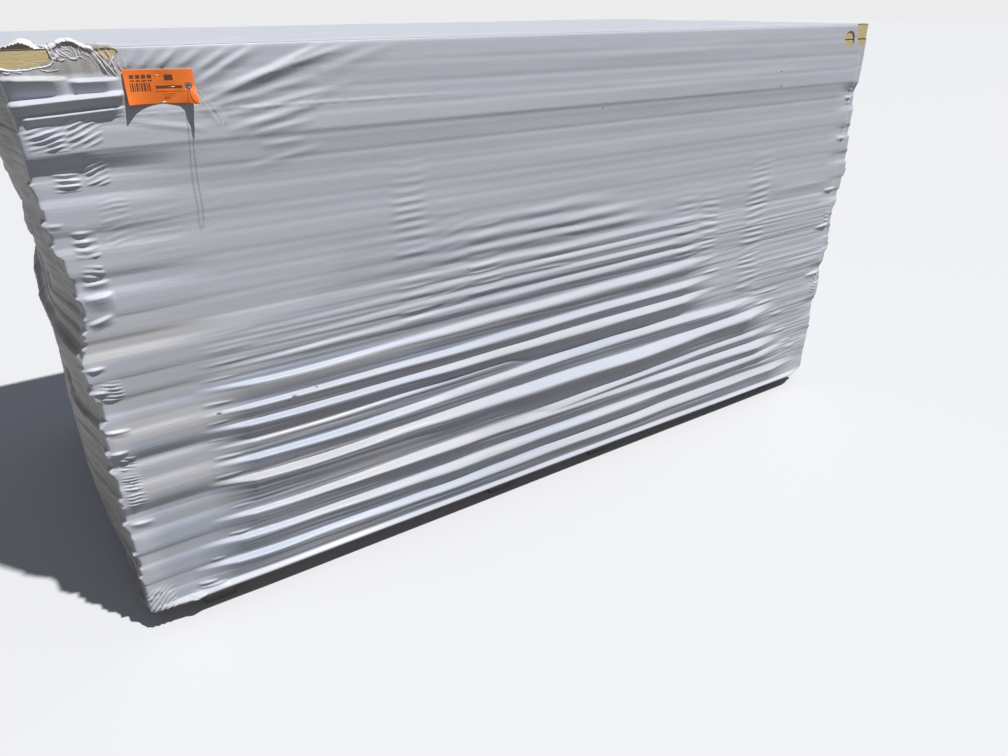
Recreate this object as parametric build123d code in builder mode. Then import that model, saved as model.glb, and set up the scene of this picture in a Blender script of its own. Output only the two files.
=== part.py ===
"""Wrapped bundle of rigid foam insulation boards on four foam runners.

The frame: X runs along the long side of the boards, Y from the long front face
to the back, Z up. The origin is the middle of the bundle's footprint, on the
floor. All lengths are in millimetres.
"""

import math
import os

from build123d import *

# The boards
board_length = 2438.4
board_width = 1219.2
board_thickness = 44.45
board_count = 28

# How far each board lies from true, lowest board first: to the right along X,
# and towards the back along Y. A stack leans and steps where it was handled.
board_shift_x = (
    0, 2, 2, 7, 4, 3, 3, 8, 8, 7, 10, 21, 19, 11,
    6, 24, 31, 37, 32, 25, 17, 15, 12, 11, 12, 14, 12, 9,
)
board_shift_y = (
    0, 2, 0, 3, 0, 4, 6, -3, 1, 5, -4, -1, 2, -1,
    -3, 3, 0, -2, 2, -2, 2, -2, 3, 5, -5, -4, -4, -3,
)

# The plastic film drawn tight round the stack
film_thickness = 0.5
film_clearance = 0.2
film_bridge = 7.0

# The foam runners under the stack, laid across it
runner_width = 76.0
runner_height = 56.0
runner_setback = 28.0
runner_from_end = 160.0
runner_spacing = 860.0
runner_chamfer = 3.0

# The card tag stapled near the upper left corner
tag_length = 121.0
tag_height = 60.0
tag_thickness = 0.5
tag_from_left = 185.0
tag_from_top = 40.0
tag_tilt = -1.6
tag_lift_top = 2.5
tag_lift_bottom = 15.0

# The washer that strengthens the tag's string hole
eyelet_diameter = 14.0
eyelet_bore = 5.0
eyelet_rim = 0.6
eyelet_from_end = 12.0

# The tag's string, a doubled loop
string_diameter = 1.0

# Openings torn or cut in the film, measured from the stack's own corners
tear_length = 88.0
tear_depth = 30.0
tear_reach = 34.0
window_from_left = 150.0
window_length = 34.0
window_depth = 24.0
slit_length = 53.0
slit_height = 48.5
slit_from_right = 64.5
slit_from_top = 20.0
corner_hole_length = 59.0
corner_hole_narrowing = 11.0
corner_hole_straight = 49.0
corner_hole_depth = 70.0
corner_hole_reach = 12.0


def shift_of(shifts, index):
    """The shift of one board; a taller stack repeats the pattern."""
    return shifts[index % len(shifts)]


# The stack's own places, before the origin is moved to the footprint's middle
shifts_x = [shift_of(board_shift_x, i) for i in range(board_count)]
shifts_y = [shift_of(board_shift_y, i) for i in range(board_count)]
film_cover = film_clearance + film_thickness
low_x = min(shifts_x) - film_cover
high_x = max(shifts_x) + board_length + film_cover
low_y = min(shifts_y) - film_cover
high_y = max(shifts_y) + board_width + film_cover

stack_bottom = runner_height + film_cover
stack_top = stack_bottom + board_count * board_thickness
film_top = stack_top + film_cover


def film_face_y(index):
    """The outer face of the film on the front of one board."""
    return shifts_y[index] - film_cover


# The tag hangs on the film of the board that is furthest forward behind it
tag_top = film_top - tag_from_top
tag_boards = [
    i
    for i in range(board_count)
    if stack_bottom + (i + 1) * board_thickness > tag_top - tag_height - film_bridge
]
tag_face_y = min(film_face_y(i) for i in tag_boards)
tag_front_y = tag_face_y - tag_lift_bottom - tag_thickness

origin_x = (low_x + high_x) / 2
origin_y = (min(low_y, tag_front_y) + high_y) / 2


# Boards, each one laminate of foam between its two facers
def make_board(index):
    """One board at its own place in the stack."""
    left = shifts_x[index] - origin_x
    front = shifts_y[index] - origin_y
    floor_z = stack_bottom + index * board_thickness
    with BuildPart() as board:
        with BuildSketch(Plane.XY.offset(floor_z)):
            with Locations((left + board_length / 2, front + board_width / 2)):
                Rectangle(board_length, board_width)
        extrude(amount=board_thickness)
    return board.part


boards = []
for i in range(board_count):
    board = make_board(i)
    board.label = f"board_{i + 1:02d}"
    boards.append(board)


# Film: its section at every joint reaches over both boards, and a little
# above and below the joint it lies on the board itself
def film_sections(cover):
    """Height, left, right, front and back of the film, from the bottom up."""
    outlines = []
    for i in range(board_count):
        left = shifts_x[i] - cover - origin_x
        right = shifts_x[i] + board_length + cover - origin_x
        front = shifts_y[i] - cover - origin_y
        back = shifts_y[i] + board_width + cover - origin_y
        outlines.append((left, right, front, back))
    sections = [(stack_bottom - cover, *outlines[0])]
    for i in range(1, board_count):
        joint = stack_bottom + i * board_thickness
        below = outlines[i - 1]
        above = outlines[i]
        both = (
            min(below[0], above[0]),
            max(below[1], above[1]),
            min(below[2], above[2]),
            max(below[3], above[3]),
        )
        sections.append((joint - film_bridge, *below))
        sections.append((joint, *both))
        sections.append((joint + film_bridge, *above))
    sections.append((stack_top + cover, *outlines[-1]))
    return sections


stack_left = shifts_x[-1] - origin_x
stack_right = stack_left + board_length
stack_front = shifts_y[-1] - origin_y
front_plane = Plane.XZ.offset(-stack_front)
cut_through = tear_reach + max(shifts_y) - min(shifts_y)

with BuildPart() as bundle_wrap:
    for height, left, right, front, back in film_sections(film_cover):
        with BuildSketch(Plane.XY.offset(height)):
            with Locations(((left + right) / 2, (front + back) / 2)):
                Rectangle(right - left, back - front)
    loft(ruled=True)

    # The boards fill all the room inside it
    for height, left, right, front, back in film_sections(film_clearance):
        with BuildSketch(Plane.XY.offset(height)):
            with Locations(((left + right) / 2, (front + back) / 2)):
                Rectangle(right - left, back - front)
    loft(ruled=True, mode=Mode.SUBTRACT)

    # The torn corner opens the front, the end and the top at once
    with BuildSketch(front_plane.offset(cut_through)):
        with BuildLine():
            Polyline(
                (stack_left - cut_through, film_top + cut_through),
                (stack_left - cut_through, film_top - tear_depth),
                (stack_left + 0.5 * tear_length, film_top - tear_depth),
                (stack_left + 0.7 * tear_length, film_top - 0.85 * tear_depth),
                (stack_left + tear_length, film_top - 0.5 * tear_depth),
                (stack_left + 0.8 * tear_length, film_top),
                (stack_left + 0.8 * tear_length, film_top + cut_through),
                close=True,
            )
        make_face()
    extrude(amount=-cut_through - tear_reach, mode=Mode.SUBTRACT)

    # A second, smaller tear just to the right of it
    with BuildSketch(front_plane.offset(cut_through)):
        with BuildLine():
            Polyline(
                (stack_left + window_from_left, film_top + cut_through),
                (stack_left + window_from_left, film_top - 0.2 * window_depth),
                (stack_left + window_from_left + 0.25 * window_length, film_top - window_depth),
                (stack_left + window_from_left + 0.9 * window_length, film_top - window_depth),
                (stack_left + window_from_left + window_length, film_top + cut_through),
                close=True,
            )
        make_face()
    extrude(amount=-cut_through - 0.5 * window_depth, mode=Mode.SUBTRACT)

    # A cut that has sprung open as a pointed oval
    with BuildSketch(front_plane.offset(cut_through)):
        slit_middle_x = stack_right - slit_from_right - slit_length / 2
        slit_middle_z = film_top - slit_from_top - slit_height / 2
        with BuildLine():
            ThreePointArc(
                (slit_middle_x, slit_middle_z - slit_height / 2),
                (slit_middle_x + slit_length / 2, slit_middle_z),
                (slit_middle_x, slit_middle_z + slit_height / 2),
            )
            ThreePointArc(
                (slit_middle_x, slit_middle_z + slit_height / 2),
                (slit_middle_x - slit_length / 2, slit_middle_z),
                (slit_middle_x, slit_middle_z - slit_height / 2),
            )
        make_face()
    extrude(amount=-cut_through - 0.5 * slit_height, mode=Mode.SUBTRACT)

    # The hole that runs out over the right corner
    with BuildSketch(front_plane.offset(cut_through)):
        hole_left = stack_right - corner_hole_length
        hole_foot = hole_left + corner_hole_narrowing
        hole_right = stack_right + cut_through
        with BuildLine():
            Polyline(
                (hole_right, film_top - corner_hole_straight),
                (hole_right, film_top + cut_through),
                (hole_left, film_top + cut_through),
                (hole_left, film_top),
                (hole_foot, film_top - corner_hole_straight),
            )
            ThreePointArc(
                (hole_foot, film_top - corner_hole_straight),
                ((hole_foot + stack_right) / 2, film_top - corner_hole_depth),
                (stack_right, film_top - corner_hole_straight),
            )
            Line(
                (stack_right, film_top - corner_hole_straight),
                (hole_right, film_top - corner_hole_straight),
            )
        make_face()
    extrude(amount=-cut_through - corner_hole_reach, mode=Mode.SUBTRACT)
bundle_wrap.part.label = "bundle_wrap"


# Runners, strips of the same foam laid across under the film
runner_length = board_width - 2 * runner_setback
runner_left = shifts_x[0] - origin_x + runner_from_end
runner_right = runner_left + board_length - 2 * runner_from_end
runner_places = (
    runner_left,
    runner_left + runner_spacing,
    runner_right - runner_spacing,
    runner_right,
)
runner_middle_y = shifts_y[0] + board_width / 2 - origin_y

runners = []
for i, runner_x in enumerate(runner_places):
    with BuildPart() as runner:
        with BuildSketch(Plane.XY):
            with Locations((runner_x, runner_middle_y)):
                Rectangle(runner_width, runner_length)
        extrude(amount=runner_height)
        chamfer(runner.edges().filter_by(Axis.Z), runner_chamfer)
    runner.part.label = f"runner_{i + 1}"
    runners.append(runner.part)


# Tag: a thin card, almost flat along its top, its lower corners curling out
tag_middle_x = shifts_x[-1] - origin_x + tag_from_left + tag_length / 2
tag_seat_y = tag_face_y - origin_y
tag_bottom_plane = Plane(
    origin=(tag_middle_x, tag_seat_y, tag_top - tag_height),
    x_dir=(math.cos(math.radians(tag_tilt)), 0, math.sin(math.radians(tag_tilt))),
    z_dir=(-math.sin(math.radians(tag_tilt)), 0, math.cos(math.radians(tag_tilt))),
)


def tag_lift_at(along, up):
    """How far the card's back stands off the film at a place on the card."""
    lift = tag_lift_bottom + (tag_lift_top - tag_lift_bottom) * up / tag_height
    radius = ((tag_length / 2) ** 2 + lift**2) / (2 * lift)
    return radius - math.sqrt(radius**2 - along**2)


with BuildPart() as lot_tag:
    half = tag_length / 2
    for up, lift in ((0, tag_lift_bottom), (tag_height, tag_lift_top)):
        # The card seen on edge: its two ends stand out by the lift
        with BuildSketch(tag_bottom_plane.offset(up)):
            with BuildLine():
                ThreePointArc((-half, -lift), (0, 0), (half, -lift))
                Line((half, -lift), (half, -lift - tag_thickness))
                ThreePointArc(
                    (half, -lift - tag_thickness),
                    (0, -tag_thickness),
                    (-half, -lift - tag_thickness),
                )
                Line((-half, -lift - tag_thickness), (-half, -lift))
            make_face()
    loft()

eyelet_along = tag_length / 2 - eyelet_from_end
eyelet_up = tag_height / 2
eyelet_lift = tag_lift_at(eyelet_along, eyelet_up)
eyelet_origin = tag_bottom_plane.from_local_coords(
    Vector(eyelet_along, -eyelet_lift - tag_thickness / 2, eyelet_up)
)
eyelet_turn = math.degrees(
    math.atan2(
        tag_lift_at(eyelet_along + 1, eyelet_up) - tag_lift_at(eyelet_along - 1, eyelet_up),
        2,
    )
)
eyelet_plane = Plane(
    origin=eyelet_origin,
    x_dir=Vector(1, 0, 0).rotate(Axis.Z, -eyelet_turn),
    z_dir=Vector(0, -1, 0).rotate(Axis.Z, -eyelet_turn),
)

with lot_tag:
    with BuildSketch(eyelet_plane.offset(-tag_height / 4)):
        Circle(eyelet_diameter / 2 + film_clearance)
    extrude(amount=tag_height / 2, mode=Mode.SUBTRACT)
lot_tag.part.label = "lot_tag"

with BuildPart() as tag_eyelet:
    with BuildSketch(eyelet_plane.offset(-tag_thickness / 2 - eyelet_rim)):
        Circle(eyelet_diameter / 2)
        Circle(eyelet_bore / 2, mode=Mode.SUBTRACT)
    extrude(amount=tag_thickness + 2 * eyelet_rim)
tag_eyelet.part.label = "tag_eyelet"


# String: out through the eyelet, round the end of its loop and back again
string_points = [
    (0.9, 0.2, -1.5),
    (1.9, -8.8, -0.6),
    (5.5, -19.6, -1.5),
    (11.9, -31.5, -7.4),
    (18.9, -43.4, -17.7),
    (25.9, -54.8, -30.6),
    (31.6, -64.3, -43.6),
    (34.9, -71.1, -53.6),
    (36.4, -74.5, -58.3),
    (35.5, -77.3, -62.1),
    (31.3, -78.3, -63.4),
    (27.6, -76.2, -60.6),
    (26.1, -72.1, -55.9),
    (22.4, -65.3, -45.9),
    (17.1, -55.8, -32.9),
    (11.1, -44.2, -19.9),
    (5.1, -32.1, -9.6),
    (0.5, -20.0, -3.2),
    (-1.1, -8.8, -1.4),
    (-0.9, 0.2, -1.5),
]
string_route = [eyelet_origin + Vector(*point) for point in string_points]


def bend_radii(route):
    """For each inner point, 0.45 of the shorter run over the half turn's tangent."""
    radii = []
    for before, point, after in zip(route, route[1:], route[2:]):
        run_in = point - before
        run_out = after - point
        half_turn = math.radians(run_in.get_angle(run_out)) / 2
        radii.append(0.45 * min(run_in.length, run_out.length) / math.tan(half_turn))
    return radii


string_radii = bend_radii(string_route)
with BuildPart() as tag_string:
    with BuildLine():
        string_path = FilletPolyline(*string_route, radius=string_radii)
    with BuildSketch(Plane(origin=string_path @ 0, z_dir=string_path % 0)):
        Circle(string_diameter / 2)
    sweep(path=string_path)
tag_string.part.label = "tag_string"

string_section = math.pi * (string_diameter / 2) ** 2
print("string bend radii", [round(radius, 1) for radius in string_radii])
string_volume_share = tag_string.part.volume / (string_section * string_path.length)
print("string length", round(string_path.length, 1))
print("string volume over section times length", round(string_volume_share, 4))


pieces = boards + runners + [
    bundle_wrap.part,
    lot_tag.part,
    tag_eyelet.part,
    tag_string.part,
]
os.makedirs("parts", exist_ok=True)
for piece in pieces:
    export_step(piece, f"parts/{piece.label}.step")
print("pieces written", len(pieces))
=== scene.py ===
# %% [markdown]
# # A wrapped bundle of insulation boards
#
# The real object is a stack of rigid foam boards on four foam runners, drawn tight in one sheet of
# plastic film, with a card tag stapled to it. Nearly all that the eye sees is film, so most of this
# lesson is about one thing: how a tight plastic sheet folds, creases and tears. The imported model
# gives every place and size, and each step below dresses one part of it.

import math

import bpy
import numpy as np
from mathutils import Matrix, Vector


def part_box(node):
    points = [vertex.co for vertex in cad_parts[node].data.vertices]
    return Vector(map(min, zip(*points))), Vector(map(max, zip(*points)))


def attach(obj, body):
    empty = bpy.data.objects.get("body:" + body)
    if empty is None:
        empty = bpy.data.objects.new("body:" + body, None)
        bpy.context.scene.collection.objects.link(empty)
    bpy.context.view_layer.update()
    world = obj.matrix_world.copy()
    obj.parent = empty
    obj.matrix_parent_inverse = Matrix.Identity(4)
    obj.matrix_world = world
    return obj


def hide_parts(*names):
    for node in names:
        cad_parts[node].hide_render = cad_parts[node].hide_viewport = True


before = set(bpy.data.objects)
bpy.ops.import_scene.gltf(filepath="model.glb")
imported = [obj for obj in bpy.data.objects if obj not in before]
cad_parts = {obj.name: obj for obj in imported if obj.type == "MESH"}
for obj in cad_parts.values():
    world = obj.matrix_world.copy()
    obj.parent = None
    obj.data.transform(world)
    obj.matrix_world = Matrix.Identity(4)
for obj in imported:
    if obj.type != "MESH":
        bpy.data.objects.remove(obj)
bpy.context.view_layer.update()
MM = 0.001

# %% [markdown]
# ## Camera
#
# The photograph was taken by hand from about eye height, near the left end, looking down and to the
# right. A camera could be placed by eye, but the bundle's long straight edges fix it exactly: the
# place, the three turns and the focal length below bring its corners onto those of the photograph.

# %% Camera
def placed(name, data):
    """Put an object with this data into the scene."""
    thing = bpy.data.objects.new(name, data)
    bpy.context.collection.objects.link(thing)
    return thing


camera_place = Vector((-1.2527, -2.1881, 1.3643))
camera_yaw = math.radians(33.098)
camera_pitch = math.radians(26.847)
camera_roll = math.radians(-0.374)
photo_width_px = 1008
focal_length_px = 737.92
sensor_width_mm = 36.0
farthest_seen_m = 200.0

forward = Vector((
    math.cos(camera_pitch) * math.sin(camera_yaw),
    math.cos(camera_pitch) * math.cos(camera_yaw),
    -math.sin(camera_pitch),
))
level_right = Vector((math.cos(camera_yaw), -math.sin(camera_yaw), 0.0))
level_up = level_right.cross(forward)
turned_right = math.cos(camera_roll) * level_right + math.sin(camera_roll) * level_up
turned_up = math.cos(camera_roll) * level_up - math.sin(camera_roll) * level_right

camera_data = bpy.data.cameras.new("camera")
camera_data.sensor_width = sensor_width_mm
camera_data.lens = focal_length_px / photo_width_px * sensor_width_mm
camera_data.clip_end = farthest_seen_m
camera = placed("camera", camera_data)
turns = Matrix((turned_right, turned_up, -forward)).transposed()
camera.matrix_world = Matrix.Translation(camera_place) @ turns.to_4x4()
bpy.context.scene.camera = camera
print("camera lens", round(camera_data.lens, 2), "mm")

# %% [markdown]
# ## Node helpers
#
# Every finish here is a small tree of shader nodes. Linking them by hand takes three lines a node,
# so these helpers make a node, set its plain values and link its inputs in one call. A colour is
# given as red, green and blue.


# %% Helpers for shader nodes
class Finish:
    """A material and short ways to add nodes to it."""

    def __init__(self, name):
        self.material = bpy.data.materials.new(name)
        self.material.use_nodes = True
        # Nothing here is a lamp, so the renderer needn't look for light from any face
        self.material.cycles.emission_sampling = "NONE"
        self.nodes = self.material.node_tree.nodes
        self.links = self.material.node_tree.links
        self.nodes.clear()
        self.output = self.nodes.new("ShaderNodeOutputMaterial")

    def join(self, value, socket):
        """Link a node's output to a socket, or set the socket to a plain value."""
        if isinstance(value, bpy.types.NodeSocket):
            self.links.new(value, socket)
        elif socket.type == "RGBA":
            socket.default_value = (*value, 1.0)
        else:
            socket.default_value = value

    def add(self, kind, inputs=(), **settings):
        """Make a node of this kind, with its settings and its inputs by name or number."""
        node = self.nodes.new(kind)
        for name, value in settings.items():
            setattr(node, name, value)
        for name, value in dict(inputs).items():
            self.join(value, node.inputs[name])
        return node

    def math(self, operation, first, second=0.0):
        """One sum on numbers."""
        node = self.add("ShaderNodeMath", operation=operation)
        self.join(first, node.inputs[0])
        self.join(second, node.inputs[1])
        return node.outputs[0]

    def ramp(self, value, *stops):
        """Turn a number into a colour or a grey by stops of (place, colour)."""
        node = self.add("ShaderNodeValToRGB", {"Fac": value})
        elements = node.color_ramp.elements
        while len(elements) < len(stops):
            elements.new(0.5)
        for element, (place, colour) in zip(elements, stops):
            element.position = place
            element.color = (*colour, 1.0)
        return node.outputs["Color"]

    def mask(self, value, none_at, full_at, full=1.0):
        """0 where the value is at most none_at, and full where it is at least full_at."""
        return self.ramp(value, (none_at, (0.0, 0.0, 0.0)), (full_at, (full, full, full)))

    def mix(self, share, first, second):
        """Blend two colours."""
        node = self.add("ShaderNodeMix", data_type="RGBA")
        self.join(share, node.inputs[0])
        self.join(first, node.inputs[6])
        self.join(second, node.inputs[7])
        return node.outputs[2]

    def noise(self, vector, scale, detail=2.0, roughness=0.5):
        """Cloudy noise from 0 to 1."""
        inputs = {"Vector": vector, "Scale": scale, "Detail": detail, "Roughness": roughness}
        return self.add("ShaderNodeTexNoise", inputs).outputs["Fac"]

    def places(self, stretch=(1.0, 1.0, 1.0), turn=(0.0, 0.0, 0.0)):
        """The surface's own places in metres, turned and squeezed along each axis."""
        own = self.add("ShaderNodeTexCoord").outputs["Object"]
        inputs = {"Vector": own, "Rotation": turn, "Scale": stretch}
        return self.add("ShaderNodeMapping", inputs).outputs[0]

    def upward(self, vector):
        """The Z part of a place or a direction."""
        return self.add("ShaderNodeSeparateXYZ", {"Vector": vector}).outputs["Z"]

    def painted(self, label):
        """A value that the mesh carries at its vertices."""
        return self.add("ShaderNodeAttribute", attribute_name=label).outputs["Fac"]

    def bump(self, height, depth, strength=1.0, below=None):
        """A relief from a height between 0 and 1, its depth in metres."""
        inputs = {"Height": height, "Distance": depth, "Strength": strength}
        node = self.add("ShaderNodeBump", inputs)
        if below is not None:
            self.join(below, node.inputs["Normal"])
        return node.outputs[0]

    def surface(self, **inputs):
        """End the tree in a Principled shader; input names use _ for spaces."""
        named = {name.replace("_", " "): value for name, value in inputs.items()}
        node = self.add("ShaderNodeBsdfPrincipled", named)
        self.links.new(node.outputs[0], self.output.inputs["Surface"])
        return self.material


print("node helpers ready")

# %% [markdown]
# ## Light and floor
#
# Outdoors the bundle stands in high sun from the front right, under a wide sky. A picture of a sky
# could light it, but one sun lamp and an even blue-grey world give the same shading and are easy to
# set. The lamp's disc is about twice as wide as the sun's, so shadows have a slightly soft edge. The
# floor is pale where the camera sees it. To light that bounces it is as dark as a yard, because the
# folds' undersides take their dark tone from the ground that they face.

# %% Light
sun_towards = Vector((0.24, -0.37, 0.905))
sun_data = bpy.data.lights.new("sun", "SUN")
sun_data.energy = 4.2
sun_data.angle = math.radians(1.2)
sun = placed("sun", sun_data)
sun.rotation_euler = sun_towards.to_track_quat("Z", "Y").to_euler()
bpy.context.scene.view_settings.view_transform = "Standard"
print("sun", sun_data.energy, "from", tuple(sun_towards))

# %% Sky
sky_colour = (0.165, 0.18, 0.215, 1.0)
backdrop_colour = (0.84, 0.84, 0.85, 1.0)
world = bpy.data.worlds.new("studio")
world.use_nodes = True
bpy.context.scene.world = world
world_nodes = world.node_tree.nodes
world_links = world.node_tree.links
seen = world_nodes.new("ShaderNodeLightPath")
sky_mix = world_nodes.new("ShaderNodeMix")
sky_mix.data_type = "RGBA"
sky_mix.inputs[6].default_value = sky_colour
sky_mix.inputs[7].default_value = backdrop_colour
world_links.new(seen.outputs["Is Camera Ray"], sky_mix.inputs[0])
world_links.new(sky_mix.outputs[2], world_nodes["Background"].inputs["Color"])
print("sky", sky_colour[:3], "and where the camera sees it", backdrop_colour[:3])

# %% Floor
floor_half = 60.0
floor_pale = (0.64, 0.64, 0.645)
floor_to_bounces = (0.105, 0.097, 0.09)

floor_mesh = bpy.data.meshes.new("floor")
corners = [(-1, -1), (1, -1), (1, 1), (-1, 1)]
floor_mesh.from_pydata([(x * floor_half, y * floor_half, 0.0) for x, y in corners], [], [range(4)])
floor = placed("floor", floor_mesh)

ground = Finish("floor_pale")
rays = ground.add("ShaderNodeLightPath")
shown = ground.math("MAXIMUM", rays.outputs["Is Camera Ray"], rays.outputs["Is Glossy Ray"])
shown = ground.math("MAXIMUM", shown, rays.outputs["Is Transmission Ray"])
floor_mesh.materials.append(
    ground.surface(Base_Color=ground.mix(shown, floor_to_bounces, floor_pale), Roughness=0.9)
)
print("floor", 2 * floor_half, "m square")

# %% [markdown]
# ## Where the boards are
#
# The film has no shape of its own: it lies on the boards' edges. So before any film, this step reads
# each board's box and works out the line of a sheet drawn tight over them. At each height that line
# is as far out as the boards near it push it, and it falls back at a shallow slope between them,
# because film bridges a set-back board instead of following it round sharp corners.

# %% The stack, measured
board_names = sorted(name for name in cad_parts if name.startswith("board_"))


def box_mm(name):
    """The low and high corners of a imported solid's box, in mm."""
    return np.array(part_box(name)) / MM


board_boxes = [box_mm(name) for name in board_names]
bottom_low, bottom_high = board_boxes[0]
top_board_low, top_board_high = board_boxes[-1]
stack_bottom = bottom_low[2]
stack_top = top_board_high[2]
stack_height = stack_top - stack_bottom
board_thickness = stack_height / len(board_boxes)
front_left_x = bottom_low[0]
board_length, board_width = (bottom_high - bottom_low)[:2]
film_cover = box_mm("bundle_wrap")[1][2] - stack_top
print(len(board_boxes), "boards of", round(board_thickness, 2), "mm, stack", round(stack_height, 1))


# %% The tight line over the boards' edges
def smooth_line(values, reach):
    """Blur a line of values, one each mm, over this reach in mm."""
    steps = np.arange(-4 * reach, 4 * reach + 1)
    weights = np.exp(-0.5 * (steps / reach) ** 2)
    padded = np.pad(values, 4 * reach, mode="edge")
    return np.convolve(padded, weights / weights.sum(), mode="valid")


film_slack = 1.1
beyond_ends = 40
fine_heights = np.arange(-float(beyond_ends), stack_height + beyond_ends + 1)


def tight_line(axis, sign, slope, rounding):
    """How far out the film lies at each fine height, in mm along this axis and sign."""
    corner = 1 if sign > 0 else 0
    line = np.full(fine_heights.shape, -np.inf)
    for i, board in enumerate(board_boxes):
        reach = sign * board[corner][axis]
        low = i * board_thickness
        high = low + board_thickness
        beyond = np.maximum(low - fine_heights, fine_heights - high).clip(min=0)
        line = np.maximum(line, reach - slope * beyond)
    return np.maximum(smooth_line(line, rounding), line) + film_cover + film_slack


# How fast the film falls back beside a board that stands out: in mm, for each mm up or down
side_slope = 0.05
pressed_slope = 0.35
end_slope = 0.9
side_lines = {
    "front": tight_line(1, -1, side_slope, 3),
    "right": tight_line(0, 1, end_slope, 2),
    "back": tight_line(1, 1, side_slope, 3),
    "left": tight_line(0, -1, end_slope, 2),
}
# Near its corners the film is pressed onto the boards and follows each step
front_pressed = tight_line(1, -1, pressed_slope, 2)


def side_at(side, height):
    """The tight line of one side at any heights above the stack's foot."""
    return np.interp(height, fine_heights, side_lines[side])


for side in side_lines:
    spread = np.ptp(side_lines[side][beyond_ends:-beyond_ends])
    print(side, "film moves in and out by", round(float(spread), 1), "mm")


# %% [markdown]
# ## Tools for folds
#
# A fold in tight film, seen on edge, is lopsided. The film hangs over its crest, so above the crest
# there is a short ledge that faces the sky and shines, and below it a long drop that faces the
# ground and is dark. A sine wave would light both sides alike and look like corrugated sheet. All
# folds here are one profile, a short ledge and a long drop, laid along different paths: long folds
# that wander, short pinches, slanting creases, and columns of close crimps.

# %% Helpers for folds
def ease(value, low, high):
    """0 below low, 1 above high, and a smooth rise between."""
    share = np.clip((value - low) / (high - low), 0.0, 1.0)
    return share * share * (3.0 - 2.0 * share)


def drift(across, up, seed):
    """Smooth random values from -1 to 1 that change over one unit each way."""
    count = 97
    table = np.random.default_rng(seed).uniform(-1.0, 1.0, (count, count))
    column = np.floor(across).astype(int)
    row = np.floor(up).astype(int)
    share_x = ease(across - column, 0.0, 1.0)
    share_y = ease(up - row, 0.0, 1.0)
    left = column % count
    right = (column + 1) % count
    low = row % count
    high = (row + 1) % count
    bottom = table[left, low] * (1 - share_x) + table[right, low] * share_x
    top = table[left, high] * (1 - share_x) + table[right, high] * share_x
    return bottom * (1 - share_y) + top * share_y


def fold_edge_on(above, ledge, drop):
    """A fold seen on edge: 1 on its crest, a ledge above it and a drop below."""
    ledge_curve = 1.2
    drop_curve = 1.3
    up = (above / ledge).clip(0.0, 1.0) ** ledge_curve
    down = (-above / drop).clip(0.0, 1.0)
    return np.where(above > 0, 1.0 - up, (1.0 - down) ** drop_curve)


def rounded_fold(above, ledge, drop, softness):
    """The same profile with a rounded crest and a soft foot."""
    up = 1 - above / ledge
    down = 1 + above / drop
    crest = (up + down - np.sqrt((up - down) ** 2 + softness)) / 2
    return (crest + np.sqrt(crest**2 + 0.1 * softness)) / 2


def long_fold(
    x, z, route, ledge, drop, out, start, end, fade_in=110, fade_out=170, widen=1.2, crisp=0.05
):
    """A fold along the side, its crest led by places (along, height)."""
    along, heights = np.array(route, float).T
    # The crest follows its route, rounded at the places and with a slow waver
    fine = np.arange(along[0] - 300, along[-1] + 301, 10.0)
    crest = smooth_line(np.interp(fine, along, heights), 8)
    waver = 1.6 * drift(x / 170, z / 300, len(route) + int(ledge))
    above = z - np.interp(x, fine, crest) - waver
    # It rises from nothing, dies away again, and is never quite even
    arrive = ((x - start) / fade_in).clip(0, 1) ** 1.3
    leave = ((end - x) / fade_out).clip(0, 1) ** 1.3
    uneven = 1 + 0.14 * drift(x / 140, z / 90 + ledge, 19)
    # Away from the left corner the ledge grows wider, at the cost of the drop
    wide = widen * ease(x, 300, 1100)
    ledge_here = ledge * (0.8 + wide)
    drop_here = drop + 0.4 * ledge - 0.3 * ledge_here
    height = out * (1.1 + 0.27 * wide) * arrive * leave * uneven
    # The folds high up are rounder
    softness = crisp + 0.4 * widen * ease(heights.mean(), 470, 640)
    return height * rounded_fold(above, ledge_here, drop_here, softness)


def crease(x, z, start, end, out, above, below):
    """A straight fold between two places, highest in its middle."""
    run = math.hypot(end[0] - start[0], end[1] - start[1])
    way_x = (end[0] - start[0]) / run
    way_z = (end[1] - start[1]) / run
    along = ((x - start[0]) * way_x + (z - start[1]) * way_z) / run
    beside = (z - start[1]) * way_x - (x - start[0]) * way_z
    ends = np.sin(np.pi * along.clip(0.0, 1.0)) ** 0.7
    return out * ends * fold_edge_on(beside, above, below)


# Crimps closer than this are sharp and crumpled, and this share of each one is its ledge
small_pitch = 15
ledge_share = 0.32


def crimps(x, z, left, right, low, high, pitch, out, slant=0.0, seed=0):
    """A column of close short folds, one above the other."""
    middle = (left + right) / 2
    half = (right - left) / 2
    # The column fades out on all four sides
    across = (1.0 - ((x - middle) / half) ** 2).clip(0.0, 1.0) ** 0.7
    fade = min(4 * pitch, (high - low) / 3)
    begins = ease(z, low - 0.3 * pitch, low + 0.7 * pitch)
    ends = 1 - ease(z, high - fade, high + 0.4 * pitch)
    wander = 0.6 * pitch * drift(x / 190, z / 50, seed)
    uneven = 0.75 + 0.5 * drift(x / 90, z / 31, seed + 1)
    if pitch < small_pitch:
        # Small crimps are crumpled: each one wanders, fades and swells along its own length
        wander = wander + 0.24 * pitch * drift(x / 22, z / 34, seed + 2)
        uneven = (0.74 + 0.5 * drift(x / 21, z / (1.1 * pitch), seed + 1)).clip(0.3, 1.2)
    # One turn is one crimp: a short ledge, then a longer drop
    turn = ((z + slant * (x - middle) + wander) / pitch) % 1.0
    on_ledge = turn < ledge_share
    saw = np.where(on_ledge, 1 - turn / ledge_share, (turn - ledge_share) / (1 - ledge_share))
    saw = saw**1.5 if pitch <= small_pitch else ease(saw, 0.0, 1.0)
    return out * across * begins * ends * uneven * saw


print("fold tools ready")

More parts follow.
